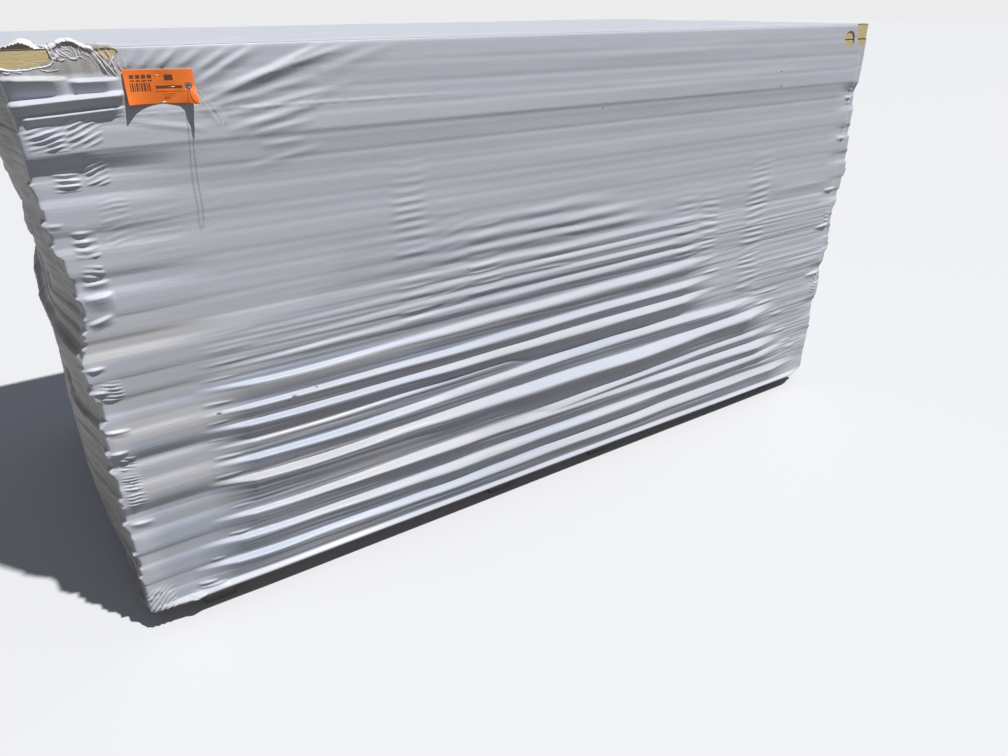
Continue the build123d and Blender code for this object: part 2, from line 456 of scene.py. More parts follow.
# %% [markdown]
# ## The long front
#
# Places on the front are in millimetres: x from the bottom board's left end, z above the stack's
# foot. The film shrank and slid down, so the lower half carries long folds from end to end, the
# lowest ones deepest. They stop short of the left end, where the film is pressed flat, and end in
# little pinches. Columns of crimps stand where the film was gathered sideways. Drawing each fold by
# its own route, instead of by noise, keeps them where the photograph has them.

# %% Long folds of the front
# Each one: route of (x, z), ledge, drop, how far out, where it starts and ends
front_folds = (
    (((135, 75), (228, 66), (843, 57), (1458, 57), (1920, 54), (2305, 53)), 10, 50, 15, 105, 2400),
    (((180, 134), (381, 123), (843, 117), (1458, 123), (1920, 128), (2290, 135)), 10, 50, 15, 130, 2330),
    (((1766, 105), (2320, 89)), 8, 25, 7, 1580, 2355),
    (((197, 197), (381, 188), (843, 194), (1458, 185), (1966, 178), (2228, 171)), 10, 56, 16, 165, 2290),
    (((1150, 197), (1458, 212), (1920, 225), (2197, 225)), 9, 32, 11, 1060, 2260),
    (((212, 298), (381, 287), (843, 293), (1304, 301), (1458, 293), (2074, 313)), 11, 84, 21, 180, 2210),
    (((228, 349), (381, 341), (690, 344), (1000, 359), (1458, 372), (2043, 364)), 9, 50, 14, 195, 2120),
    (((228, 390), (381, 385), (843, 398), (1100, 407)), 8, 36, 9, 195, 1190),
    (((212, 444), (381, 435), (843, 436), (1304, 441), (1812, 444)), 9, 50, 15, 190, 1880),
    (((800, 412), (1700, 406)), 6, 20, 4, 760, 1800),
    (((228, 483), (381, 480), (843, 480), (1304, 491), (1812, 494)), 8, 38, 12, 195, 1880),
    (((212, 545), (381, 534), (843, 542), (1304, 553), (1812, 565)), 8, 46, 13, 190, 1880),
    (((228, 583), (843, 599), (1304, 607), (1812, 615)), 7, 30, 8, 195, 1870),
    (((240, 622), (1812, 649)), 7, 24, 6.5, 300, 1860),
    (((240, 658), (1812, 680)), 7, 24, 6, 300, 1860),
    (((560, 698), (1812, 712)), 7, 24, 6.5, 420, 1860),
    (((680, 738), (1500, 752)), 7, 22, 6.5, 480, 1600),
    (((700, 776), (1480, 785)), 7, 22, 6.0, 500, 1520),
    (((700, 812), (1400, 824)), 7, 20, 4.5, 500, 1440),
)

print(len(front_folds), "long folds")

# %% Pinches, crimps and creases of the front
# Short pinches where a long fold ends: middle, height, half length, how far out, rise
end_pinches = (
    (262, 222, 42, 3.5, 0), (236, 147, 34, 4.0, -4), (138, 34, 26, 4.5, -6), (150, 20, 34, 4.5, -5),
    (108, 8, 16, 3.0, -3), (172, 92, 22, 2.5, -3), (250, 258, 50, 3.0, 2), (255, 318, 55, 3.5, 4),
    (246, 366, 40, 3.0, -3), (262, 413, 60, 3.0, -6), (255, 462, 50, 3.0, 3), (252, 508, 46, 3.0, -2),
    (262, 565, 48, 1.4, 0), (275, 600, 52, 1.0, 4), (290, 633, 60, 0.8, 5), (300, 668, 60, 0.6, 6),
    (2330, 120, 40, 3.0, 3), (2290, 152, 46, 3.0, 2), (2250, 205, 44, 3.0, 4), (2210, 282, 50, 3.0, 3),
    (2170, 300, 46, 3.0, 5), (2120, 345, 60, 3.0, 6), (2150, 385, 50, 2.5, 2), (1830, 520, 40, 2.5, 4),
)

# Columns of crimps: left, right, low, high, pitch, how far out, slant
front_crimps = (
    (46, 90, 878, 938, 14, 8.0, 0.10), (48, 88, 836, 864, 11, 6.5, 0.12), (22, 66, 572, 620, 8.5, 5.0, 0.25),
    (16, 56, 400, 440, 8.5, 5.0, 0.3), (15, 55, 348, 394, 8, 4.6, 0.2), (14, 55, 306, 348, 8.5, 4.6, 0.25),
    (-8, 60, -14, 72, 11, 10.0, -0.75), (16, 84, 1078, 1124, 10, 6.0, -0.30),
    (80, 142, 1080, 1136, 10.5, 6.2, -0.32), (42, 88, 1004, 1046, 9, 5.5, 0.0),
    (94, 138, 1010, 1052, 9.5, 4.5, -0.30),
    (150, 330, 860, 1010, 20, 0.6, -0.05), (100, 160, 890, 1010, 13, 1.2, -0.1),
    (700, 800, 590, 1015, 22, 2.2, -0.03), (815, 900, 590, 900, 23, 1.6, -0.05),
    (905, 1010, 600, 850, 21, 2.4, -0.03), (1080, 1300, 640, 880, 25, 1.8, -0.04),
    (1640, 1740, 560, 820, 20, 2.2, -0.02), (1745, 1840, 560, 820, 20, 2.4, -0.02),
    (1958, 2070, 330, 900, 22.5, 3.2, 0.02), (2040, 2120, 300, 420, 24, 2.0, 0.05),
    (84, 116, -8, 24, 7, 4.0, 0.2), (2412, 2446, 985, 1062, 13, 5.0, 0.1),
    (2410, 2444, 875, 962, 13, 5.0, 0.0),
    (2400, 2444, 325, 424, 13, 5.5, 0.5), (2400, 2440, 560, 640, 15, 4.0, 0.1),
)

# Creases between two places: start, end, how far out, ledge, drop
front_creases = (
    ((312, 1138), (640, 1262), 6.5, 8, 26), ((312, 1172), (480, 1262), 5.5, 6, 18),
    ((312, 1192), (430, 1262), 4.5, 6, 14), ((286, 1202), (372, 1262), 4, 6, 12),
    ((316, 1156), (740, 1262), 4.5, 7, 20), ((228, 1204), (276, 1262), 3.6, 6, 8),
    ((204, 1206), (236, 1262), 3.0, 6, 8), ((256, 1204), (318, 1262), 3.6, 6, 9),
    ((38, 797), (94, 800), 9, 7, 34), ((44, 824), (92, 826), 6, 5, 16), ((36, 744), (82, 756), 7, 6, 18),
    ((-6, 948), (40, 945), 3, 4, 9), ((-4, 651), (44, 650), 6, 5, 10), ((-8, 597), (40, 598), 6, 5, 10),
    ((-8, 505), (60, 498), 6, 5, 14), ((-10, 452), (44, 450), 6, 5, 12), ((-8, 262), (60, 255), 5, 6, 16),
    ((2396, 1020), (2450, 1022), 5, 5, 10), ((2386, 890), (2450, 890), 5, 5, 12),
    ((2370, 712), (2450, 716), 6, 6, 14), ((2360, 580), (2450, 586), 6, 6, 14),
    ((2350, 400), (2450, 404), 6, 6, 14), ((255, 1206), (300, 1246), 2.6, 6, 9),
    ((318, 1128), (560, 1178), 3.2, 9, 16),
    ((330, 1108), (640, 1162), 2.6, 9, 16), ((360, 1085), (570, 1138), 3.0, 10, 18),
    ((400, 1092), (560, 1126), 2.6, 9, 14), ((390, 1012), (560, 1042), 1.5, 9, 15),
    ((410, 1078), (545, 1096), 2.2, 8, 13), ((420, 1052), (520, 1058), 1.6, 8, 12),
    ((560, 1180), (760, 1244), 2.0, 14, 20), ((180, 1120), (330, 1092), 1.6, 9, 9),
    ((345, 1140), (362, 1098), 2.2, 5, 5), ((330, 1130), (352, 1100), 1.6, 4, 4),
    ((2085, 742), (2420, 748), 2.0, 20, 22), ((2200, 455), (2420, 464), 2.6, 14, 18),
    ((1200, 1180), (1900, 1196), 1.2, 24, 30), ((1300, 1100), (2200, 1118), 1.0, 24, 30),
)
print(len(end_pinches), "pinches,", len(front_crimps), "crimp columns,", len(front_creases), "creases")

# %% Folds by the torn corner
# Under the torn corner the film is loose, and hangs in strong folds between the end and the tag
loose_folds = (
    (((-10, 1203), (22, 1202), (57, 1196), (92, 1195), (103, 1191)), 5, 26, 14, -8, 112),
    (((112, 1191), (126, 1193), (149, 1190), (178, 1191)), 5, 26, 12, 102, 196),
    (((-10, 1152), (26, 1157), (72, 1163), (135, 1165), (185, 1170)), 9, 20, 14, -2, 208),
    (((10, 1133), (50, 1135), (113, 1139), (177, 1146)), 7, 14, 9, 12, 196),
    (((140, 1177), (160, 1178), (190, 1180)), 8, 9, 5, 140, 196),
    (
        ((-10, 1071), (22, 1068), (34, 1074), (50, 1069), (62, 1074), (84, 1068), (98, 1076), (112, 1071),
         (140, 1076)),
        100, 5, 3.8, 0, 134,
    ),
)
# Fine sharp creases that run down from the torn edge, and the small dark dart between two folds
torn_creases = (
    ((141, 1252), (178, 1196), 2.4, 2.4, 3.0), ((150, 1250), (188, 1194), 2.6, 2.4, 3.0),
    ((147, 1240), (170, 1206), 1.6, 2.0, 2.4), ((188, 1232), (184, 1212), 1.6, 2.0, 2.4),
    ((184, 1214), (190, 1196), 1.6, 2.0, 2.6), ((176, 1212), (190, 1232), 1.4, 2.0, 2.4),
    ((135, 1250), (135, 1228), 1.4, 2.0, 2.0), ((196, 1246), (196, 1192), 0.8, 3.0, 3.0),
    ((166, 1236), (186, 1206), 1.2, 2.0, 2.4), ((158, 1232), (172, 1204), 1.0, 2.0, 2.4),
)
print(len(loose_folds), "loose folds,", len(torn_creases), "sharp creases")


# %% Faint relief that all tight film has
groove_depth = 0.75
groove_width = 4.0


def joint_grooves(z):
    """The film dips a little into each joint between two boards."""
    nearest = np.round(z / board_thickness) * board_thickness
    inside = (nearest > 1) & (nearest < stack_height - 1)
    dip = np.exp(-0.5 * ((z - nearest) / groove_width) ** 2)
    return np.where(inside, -groove_depth * dip, 0.0)


def tight_film_noise(x, z, seed):
    """Faint streaks and swells, stretched along the pull of the film."""
    swell = 0.9 * (1 + drift(x / 420, z / 95, seed))
    streaks = 0.26 * (1 + drift(x / 170, z / 23, seed + 1))
    fine = 0.07 * (1 + drift(x / 60, z / 11, seed + 2))
    return swell + streaks + fine


print("grooves", groove_depth, "mm deep at the joints")

# %% The step and the place under the tag
# The film's step over the fourth joint from the top, where the upper boards stand out
brow_route = ((-10, 1070), (60, 1071), (130, 1076), (511, 1077), (898, 1077), (1696, 1073), (2440, 1070))
tag_low, tag_high = box_mm("lot_tag")


def step_line(x, z):
    """1 on the crisp line of that step, falling back slowly above and soon below."""
    along, heights = np.array(brow_route).T
    above = z - np.interp(x, along, heights)
    return np.where(above > 0, (1 - above / 150).clip(0, 1), (1 + above / 30).clip(0, 1) ** 2)


def under_tag(x, z):
    """1 where the tag presses the film flat, and 0 a little way off it."""
    low_x, high_x = tag_low[0] - front_left_x, tag_high[0] - front_left_x
    low_z, high_z = tag_low[2] - stack_bottom, tag_high[2] - stack_bottom
    beside = np.maximum(low_x - x, x - high_x) / 10
    over = np.maximum(low_z - z, z - high_z) / 8
    return 1 - ease(np.maximum(beside, over), -0.4, 1.0)


print("tag from", tag_low.round(1), "to", tag_high.round(1))

# %% Relief of the front
def deep_relief(x, z):
    """The front's long folds, the loose ones and the pinches, each as high as the highest there."""
    deep = np.zeros_like(x)
    for fold in front_folds:
        # The higher a fold lies, the slower it comes in from the left
        first_height = fold[0][0][1]
        slow = 110 + 4.0 * min(max(0.0, first_height - 540), 125)
        deep = np.maximum(deep, long_fold(x, z, *fold, fade_in=slow))
    for fold in loose_folds:
        short = long_fold(x, z, *fold, fade_in=16, fade_out=30, widen=0, crisp=0.01)
        deep = np.maximum(deep, short)
    for middle, height, half, out, rise in end_pinches:
        start = (middle - half, height - rise / 2)
        end = (middle + half, height + rise / 2)
        deep = np.maximum(deep, crease(x, z, start, end, 1.3 * out, 6, 12))
    return deep


def front_relief(x, z):
    """How far the front film stands out from the tight line, in mm."""
    light = joint_grooves(z) + tight_film_noise(x, z, 11)
    for i, column in enumerate(front_crimps):
        light = light + crimps(x, z, *column, seed=40 + i)
    for fold in front_creases + torn_creases:
        light = light + crease(x, z, *fold)
    light = light + 2.6 * step_line(x, z) * ease(x, 0, 130)
    # Fine grain along the lower half's folds, and a dotted crease beside and below the tag
    grain = 0.8 * (1 + drift(x / 260, z / 7, 23)) * (1 - ease(z, 620, 800)) * ease(x, 190, 300)
    dots = 0.5 + 0.5 * drift(x / 9, z / 30, 91)
    dotted = crease(x, z, (120, 1130), (900, 1127), 2.6, 3, 7) * dots
    return (deep_relief(x, z) + light + grain + dotted) * (1 - 0.85 * under_tag(x, z))


def stands_off(x, z):
    """1 where the long folds hold the front film off the boards, 0 where it lies on them."""
    off = np.zeros_like(x)
    for route, _, _, out, start, end in front_folds:
        along, heights = np.array(route, float).T
        reach = ease(x, start + 10, start + 110) * (1 - ease(x, end - 200, end - 40))
        near = 1 - ease(np.abs(z + 10 - np.interp(x, along, heights)), 26, 60)
        off = np.maximum(off, reach * near * min(1.0, out / 12))
    return off * (1 - 0.45 * ease(x, 900, 1700))


print("relief of the front ready")

# %% [markdown]
# ## The ends and the back
#
# The photograph shows the left end at a slant, with loose film that bulges from the boards and long
# creases that run down from the back to the front corner. The right end and the back don't show, so
# they get the folds that such a wrap has: the same long low folds, a few columns of crimps, and
# slanting creases. Each could be placed one by one, as on the front. Seeded random numbers do as well
# here, and make each side differ while every run gives the same.

# %% Folds of the sides that the photograph hides
def hidden_side_folds(length, seed):
    """Long folds, crimp columns and creases for a side of this length."""
    draw = np.random.default_rng(seed)
    folds = []
    for height in (58, 122, 190, 292, 356, 440, 486, 548, 600, 655):
        start = draw.uniform(0.04, 0.10) * length
        end = draw.uniform(0.90, 0.96) * length
        shares = (0, 0.3, 0.6, 1)
        route = [(start + share * (end - start), height + draw.uniform(-9, 9)) for share in shares]
        ledge = draw.uniform(13, 17)
        drop = draw.uniform(34, 56)
        weaker = 1.0 if height < 460 else 0.5
        folds.append((route, ledge, drop, weaker * draw.uniform(8, 14), start, end))
    columns = []
    for place in draw.uniform(0.12, 0.88, max(3, int(length / 400))):
        left = place * length
        low = draw.uniform(380, 620)
        pitch = draw.uniform(19, 24)
        right = left + draw.uniform(60, 100)
        high = low + draw.uniform(250, 450)
        columns.append((left, right, low, high, pitch, 2.8, 0.04))
    slants = []
    for _ in range(int(length / 110)):
        x = draw.uniform(0.05, 0.8) * length
        z = draw.uniform(760, 1180)
        reach = draw.uniform(140, 380)
        end = (x + reach, z + draw.uniform(-40, 70))
        slants.append(((x, z), end, draw.uniform(1.0, 3.0), 12, 18))
    return folds, columns, slants


def hidden_relief(x, z, length, seed):
    """How far the film of a hidden side stands out, in mm."""
    folds, columns, slants = hidden_side_folds(length, seed)
    deep = np.zeros_like(x)
    for fold in folds:
        deep = np.maximum(deep, long_fold(x, z, *fold, fade_out=80))
    light = joint_grooves(z) + tight_film_noise(x, z, seed + 20)
    for i, column in enumerate(columns):
        light = light + crimps(x, z, *column, seed=seed + 50 + i)
    for slant in slants:
        light = light + crease(x, z, *slant)
    return deep + light


print("relief of the hidden sides ready")

# %% Folds of the left end
# Creases as above, their places given as across from the front corner and up from the stack's foot
left_end_creases = (
    ((1180, 1180), (40, 300), 3.5, 12, 26), ((1190, 1000), (60, 120), 4, 12, 28),
    ((1100, 1230), (30, 520), 3, 10, 22), ((900, 1236), (20, 700), 3, 9, 20),
    ((700, 1238), (16, 860), 2.5, 8, 18), ((500, 1236), (14, 980), 2.5, 8, 16),
    ((1195, 820), (200, 80), 4, 12, 28), ((1195, 620), (400, 60), 4, 12, 26),
    ((340, 1236), (12, 1080), 2, 7, 14), ((1198, 420), (640, 50), 3.5, 10, 22),
    ((420, 1100), (16, 760), 2, 6, 12), ((460, 900), (14, 560), 2, 6, 12),
    ((500, 760), (12, 380), 2.4, 6, 12), ((440, 560), (10, 200), 2.4, 6, 12),
    ((380, 420), (14, 80), 2.4, 6, 12), ((560, 640), (60, 240), 2.2, 6, 10),
)
# How far the end's loose film stands out, by height above the stack's foot
left_bulge = (
    (-40, 8), (10, 16), (60, 24), (180, 34), (280, 38), (400, 38), (430, 40), (560, 34), (600, 32),
    (645, 29),
    (690, 33), (735, 38), (780, 34), (840, 32), (905, 30), (948, 20), (1000, 28), (1040, 34), (1110, 30),
    (1180, 24), (1245, 14),
)


def left_relief(x, z):
    """How far the film of the left end stands out, in mm."""
    deep = np.zeros_like(x)
    for start, end, out, ledge, drop in left_end_creases:
        deep = np.maximum(deep, crease(x, z, start, end, 0.6 * out, ledge, drop))
    # Streaks that run down towards the front, coarse and fine
    light = 0.5 * tight_film_noise(x, z, 31) + 0.9 * (1 + drift(x / 240, (z - 0.9 * x) / 26, 33))
    light = light + 0.3 * (1 + drift(x / 150, (z - 1.1 * x) / 8, 35))
    # The bulge slants too, and fades towards the corners, the foot and the top
    heights, outs = np.array(left_bulge, float).T
    slid = z + 0.34 * (x - 300)
    near = np.interp(slid.clip(-40, 1245), heights, outs)
    across = ease(x, 0, 280) ** 0.8 * (1 - ease(x, 760, 1219))
    return deep + light + near * across * ease(z, -10, 130) * (1 - ease(z, 1150, 1240))


def relief_of(side, x, z):
    """The relief of any side."""
    if side == "front":
        return front_relief(x, z)
    if side == "left":
        return left_relief(x, z)
    if side == "right":
        return hidden_relief(x, z, board_width, 5)
    return hidden_relief(x, z, board_length, 9)


print("relief of four sides ready")

# %% [markdown]
# ## Outlines of the tears and cuts
#
# The film is torn open over the upper left corner, with a small second tear beside it. Near the
# upper right corner a cut has sprung open as a pointed oval, and the corner itself has worn through.
# Each opening is an outline on the front. The mesh could be cut with a boolean, but that leaves a
# ragged net of triangles. Moving the nearest vertices onto the outline and dropping the faces
# inside it keeps a clean grid with a crisp edge.

# %% Outlines on the front
# Places as on the front: x from the bottom board's left end, z above the stack's foot, in mm
top_z = stack_height + film_cover
top_left_x = top_board_low[0] - front_left_x
top_right_x = top_left_x + board_length
slit_width = 53
slit_height = 49


def pointed_oval(middle_x, middle_z, width, height, count=14):
    """Two shallow arcs that meet in a point at the top and bottom."""
    outline = []
    for side in (1, -1):
        for turn in np.linspace(0, np.pi, count)[:-1]:
            x = middle_x + side * (width / 2 * math.sin(turn))
            outline.append((x, middle_z - side * (height / 2 * math.cos(turn))))
    return outline


tear_outline = [
    (top_left_x - 70, top_z + 60), (top_left_x - 70, top_z - 29), (top_left_x, top_z - 29),
    (top_left_x + 14, top_z - 30), (top_left_x + 30, top_z - 28), (top_left_x + 46, top_z - 29.5),
    (top_left_x + 58, top_z - 26), (top_left_x + 72, top_z - 21), (top_left_x + 90, top_z - 14),
    (top_left_x + 80, top_z - 7), (top_left_x + 76, top_z + 2), (top_left_x + 78, top_z + 60),
]
window_outline = [
    (top_left_x + 146, top_z - 3), (top_left_x + 151, top_z - 12), (top_left_x + 159, top_z - 22),
    (top_left_x + 174, top_z - 20), (top_left_x + 188, top_z - 10), (top_left_x + 185, top_z - 4),
    (top_left_x + 170, top_z - 1.5),
]
slit_outline = pointed_oval(top_right_x - 91, top_z - 44, slit_width, slit_height)
corner_hole_outline = [
    (top_right_x - 59, top_z + 60), (top_right_x - 59, top_z), (top_right_x - 57, top_z - 14),
    (top_right_x - 53, top_z - 30), (top_right_x - 48, top_z - 49), (top_right_x - 38, top_z - 62),
    (top_right_x - 22, top_z - 70), (top_right_x - 8, top_z - 66), (top_right_x + 6, top_z - 52),
    (top_right_x + 70, top_z - 50), (top_right_x + 70, top_z + 60),
]
front_openings = (tear_outline, window_outline, slit_outline, corner_hole_outline)
print(len(front_openings), "openings on the front, the slit with", len(slit_outline), "points")


# %% Cutting an opening into a grid
def outline_distance(across, up, outline):
    """For each place: distance to the outline, less than 0 inside, and the nearest place on it."""
    outline = np.array(outline, float)
    nearest = np.full(across.shape, np.inf)
    near_x = across.copy()
    near_z = up.copy()
    inside = np.zeros(across.shape, bool)
    for (x0, z0), (x1, z1) in zip(outline, np.roll(outline, -1, axis=0)):
        run = (x1 - x0) ** 2 + (z1 - z0) ** 2
        share = (((across - x0) * (x1 - x0) + (up - z0) * (z1 - z0)) / run).clip(0, 1)
        foot_x = x0 + share * (x1 - x0)
        foot_z = z0 + share * (z1 - z0)
        away = np.hypot(across - foot_x, up - foot_z)
        closer = away < nearest
        nearest = np.where(closer, away, nearest)
        near_x = np.where(closer, foot_x, near_x)
        near_z = np.where(closer, foot_z, near_z)
        if z0 != z1:
            crosses = (z0 > up) != (z1 > up)
            inside ^= crosses & (across < (x1 - x0) * (up - z0) / (z1 - z0) + x0)
    return np.where(inside, -nearest, nearest), near_x, near_z


def cut_opening(points, axes, outline, pull=2.4):
    """Pull grid vertices onto an outline, and say which faces fall inside it."""
    across, up = points[..., axes[0]], points[..., axes[1]]
    distance, near_x, near_z = outline_distance(across, up, outline)
    pulled = np.abs(distance) < pull
    points[..., axes[0]] = np.where(pulled, near_x, across)
    points[..., axes[1]] = np.where(pulled, near_z, up)
    inside = (distance < 0) | pulled
    return inside[:-1, :-1] & inside[1:, :-1] & inside[:-1, 1:] & inside[1:, 1:]


print("cutting tools ready")

# %% [markdown]
# ## Sheets from grids
#
# Each stretch of film is a grid of points, rows up and columns along, worked out all at once with
# numpy. That is far quicker than moving vertices one by one, and the same grid code serves the
# sides, the top, the tag and the torn scraps.


# %% Grid to mesh
def sheet_mesh(name, points, dropped=None, values=None):
    """Make an object from points[rows, columns, 3] in mm, without the dropped faces."""
    rows, columns = points.shape[:2]
    numbers = np.arange(rows * columns).reshape(rows, columns)
    corners = (numbers[:-1, :-1], numbers[:-1, 1:], numbers[1:, 1:], numbers[1:, :-1])
    quads = np.stack(corners, axis=-1).reshape(-1, 4)
    if dropped is not None:
        quads = quads[~dropped.reshape(-1)]
    used = np.unique(quads)
    new_number = np.zeros(rows * columns, int)
    new_number[used] = np.arange(len(used))
    quads = new_number[quads]
    places = points.reshape(-1, 3)[used] * MM

    mesh = bpy.data.meshes.new(name)
    mesh.vertices.add(len(places))
    mesh.vertices.foreach_set("co", places.astype(np.float32).ravel())
    mesh.loops.add(quads.size)
    mesh.loops.foreach_set("vertex_index", quads.astype(np.int32).ravel())
    mesh.polygons.add(len(quads))
    mesh.polygons.foreach_set("loop_start", np.arange(0, quads.size, 4, dtype=np.int32))
    mesh.polygons.foreach_set("use_smooth", np.ones(len(quads), bool))
    for label, value_at in (values or {}).items():
        layer = mesh.attributes.new(label, "FLOAT", "POINT")
        layer.data.foreach_set("value", value_at.reshape(-1)[used].astype(np.float32))
    mesh.update(calc_edges=True)
    mesh.validate()
    piece = placed(name, mesh)
    print(name, "has", 2 * len(quads), "triangles")
    return piece


def joined_sheets(name, grids):
    """One object from several grids."""
    made = [sheet_mesh(f"{name}_{i}", grid) for i, grid in enumerate(grids)]
    with bpy.context.temp_override(
        active_object=made[0], object=made[0], selected_objects=made, selected_editable_objects=made
    ):
        bpy.ops.object.join()
    made[0].name = name
    made[0].data.name = name
    return made[0]


print("grid tools ready")

# %% [markdown]
# ## The ring of film
#
# The sides are one ring: rows that go all round the stack, each at its own height, with rounded
# corners between the sides. The lowest rows roll under the stack and the highest roll over onto its
# top. The columns stand closer where the film is finely wrinkled.

# %% Rows of the ring
roll_radius = 8.0
top_roll_radius = 5.0
corner_radius = 5.0
roll_turns = np.radians([-90, -65, -40, -15])
top_turns = np.radians([20, 45, 70, 90])


def between(values):
    """The same line of values with one more halfway between each two."""
    finer = np.zeros(2 * len(values) - 1)
    finer[::2] = values
    finer[1::2] = (values[1:] + values[:-1]) / 2
    return finer


side_heights = np.concatenate([
    np.arange(roll_radius, 700, 3.3),
    np.arange(700, 995, 4.2),
    np.arange(995, 1145, 2.7),
    np.arange(1145, top_z - top_roll_radius, 4.0),
])
row_height = np.concatenate([
    [0.6, 0.4, 0.0],
    roll_radius * (1 + np.sin(roll_turns)) - film_cover,
    side_heights,
    top_z - top_roll_radius * (1 - np.sin(top_turns)),
    [top_z, top_z],
])
row_inset = np.concatenate([
    [60.0, 40.0, 22.0],
    roll_radius * (1 - np.cos(roll_turns)),
    np.zeros(len(side_heights)),
    top_roll_radius * (1 - np.cos(top_turns)),
    [12.0, 20.0],
])
row_height = between(row_height)
row_inset = between(row_inset)
print(len(row_height), "rows in the ring")


# %% Columns of each side
def columns_of(length, fine_parts, coarse):
    """Places along a side, closer together within the fine parts."""
    places = [0.0]
    while places[-1] < length:
        step = coarse
        for start, end, fine in fine_parts:
            if start <= places[-1] < end:
                step = fine
        places.append(places[-1] + step)
    return np.array(places[:-1] + [length]) / length


# Fine parts: from, to, step
front_fine_parts = (
    (0, 60, 4), (60, 200, 2.5), (200, 640, 5), (640, 1000, 8), (1650, 1820, 8), (1960, 2070, 8),
    (2300, 2440, 5),
)
side_columns = {
    "front": columns_of(board_length, front_fine_parts, 13.0),
    "right": columns_of(board_width, ((0, 60, 4), (1160, 1220, 6)), 14.0),
    "back": columns_of(board_length, ((0, 60, 6), (2380, 2440, 6)), 16.0),
    "left": columns_of(board_width, ((0, 60, 6), (1150, 1220, 4)), 14.0),
}
print({side: len(places) for side, places in side_columns.items()}, "columns")

# %% Directions, starts and lengths of the sides
# For each side, the way along it and the way out of it
side_ways = {
    "front": (np.array([1.0, 0.0]), np.array([0.0, -1.0])),
    "right": (np.array([0.0, 1.0]), np.array([1.0, 0.0])),
    "back": (np.array([-1.0, 0.0]), np.array([0.0, 1.0])),
    "left": (np.array([0.0, -1.0]), np.array([-1.0, 0.0])),
}
ring_order = ("front", "right", "back", "left")
# Where each side's own measure starts, along it in the frame
side_starts = {
    "front": bottom_low[0], "right": bottom_low[1], "back": -bottom_high[0], "left": -bottom_high[1],
}
side_lengths = {"front": board_length, "right": board_width, "back": board_length, "left": board_width}
print("sides start at", [round(float(start), 1) for start in side_starts.values()])


# %% Droop and lift of the edges
def droop_at(x):
    """How far the film's bottom roll hangs below the stack along the front."""
    return np.interp(x, (0, 400, 1458, 1920, 2350, 2425, 2439), (0, 2, 7, 13, 16, 10, 0))


def top_lift(x, inset):
    """How far the loose film by the torn corner arches up above the boards."""
    first = 9 * np.sin(np.pi * ease(x, top_left_x - 4, top_left_x + 92)) ** 1.2
    second = 14 * np.sin(np.pi * ease(x, top_left_x + 72, top_left_x + 150))
    third = 7.5 * np.sin(np.pi * ease(x, top_left_x + 128, top_left_x + 188))
    return (first + second + third) * (1 - ease(inset, 18, 150))


print("the front's edge droops by up to", droop_at(2350), "mm")

# %% Film at the corners
corner_turns = np.radians([15, 30, 45, 60, 75])
# Points where the film is tented over a board's corner: height, how far out
corner_points_out = {
    "left": (
        (1020, 6), (948, 9), (905, 6), (800, 5), (725, 9), (692, 11), (651, 4), (597, 8), (514, 17),
        (452, 10), (405, 9), (330, 8), (262, 9), (178, 8), (110, 6),
    ),
    "right": ((990, 7), (930, 4), (775, 8), (653, 8), (560, 4), (508, 8), (377, 7), (296, 8), (180, 5)),
}


def tented_corner(side, heights):
    """How far the ends' film is pulled out at its corners, in mm."""
    out = np.zeros_like(heights)
    for height, reach in corner_points_out.get(side, ()):
        out = np.maximum(out, reach * fold_edge_on(heights - height, 0.9 * reach, 26))
    return out


def line_by_corner(side, heights):
    """The tight line of a side where it meets the next side."""
    if side == "front":
        return np.interp(heights, fine_heights, front_pressed)
    return side_at(side, heights) + tented_corner(side, heights)


print(len(corner_turns), "columns of points round each corner")

# %% The grid of one side
def side_grid(side):
    """Along, out and turn of a side's points, from just before one corner to just after the next."""
    before = ring_order[ring_order.index(side) - 1]
    after = ring_order[(ring_order.index(side) + 1) % 4]
    heights = row_height[:, None]
    insets = row_inset[:, None]
    rounding = np.maximum(corner_radius - insets, 0.6)
    flat_low = -(line_by_corner(before, heights) - insets) + rounding
    flat_high = line_by_corner(after, heights) - insets - rounding
    along = flat_low + side_columns[side][None, :] * (flat_high - flat_low)
    # How much the film is pressed onto the boards, from 0 to 1
    from_start = along - side_starts[side]
    pressed = np.maximum(1 - ease(from_start, 120, 330), ease(from_start, 2330, 2436))
    if side in corner_points_out:
        pressed = 1 - ease(np.minimum(from_start, board_width - from_start), 6, 60)
    by_corner = line_by_corner(side, heights)
    out = side_at(side, heights) * (1 - pressed) + by_corner * pressed - insets
    turn = np.zeros(along.shape)
    if side in ("front", "back"):
        # The long sides carry the rounded corners
        turns = corner_turns[None, :]
        corner_out = by_corner - insets
        arc_along = rounding * np.sin(turns)
        arc_out = corner_out - rounding * (1 - np.cos(turns))
        arc_turns = np.broadcast_to(turns, arc_along.shape)
        edge_out = corner_out - rounding
        edge_turn = np.full(flat_low.shape, np.pi / 2)
        along = np.hstack([
            flat_low - rounding, flat_low - arc_along[:, ::-1], along, flat_high + arc_along,
            flat_high + rounding,
        ])
        out = np.hstack([edge_out, arc_out[:, ::-1], out, arc_out, edge_out])
        turn = np.hstack([-edge_turn, -arc_turns[:, ::-1], turn, arc_turns, edge_turn])
    return along, out, turn


print("the front's grid is", side_grid("front")[0].shape)

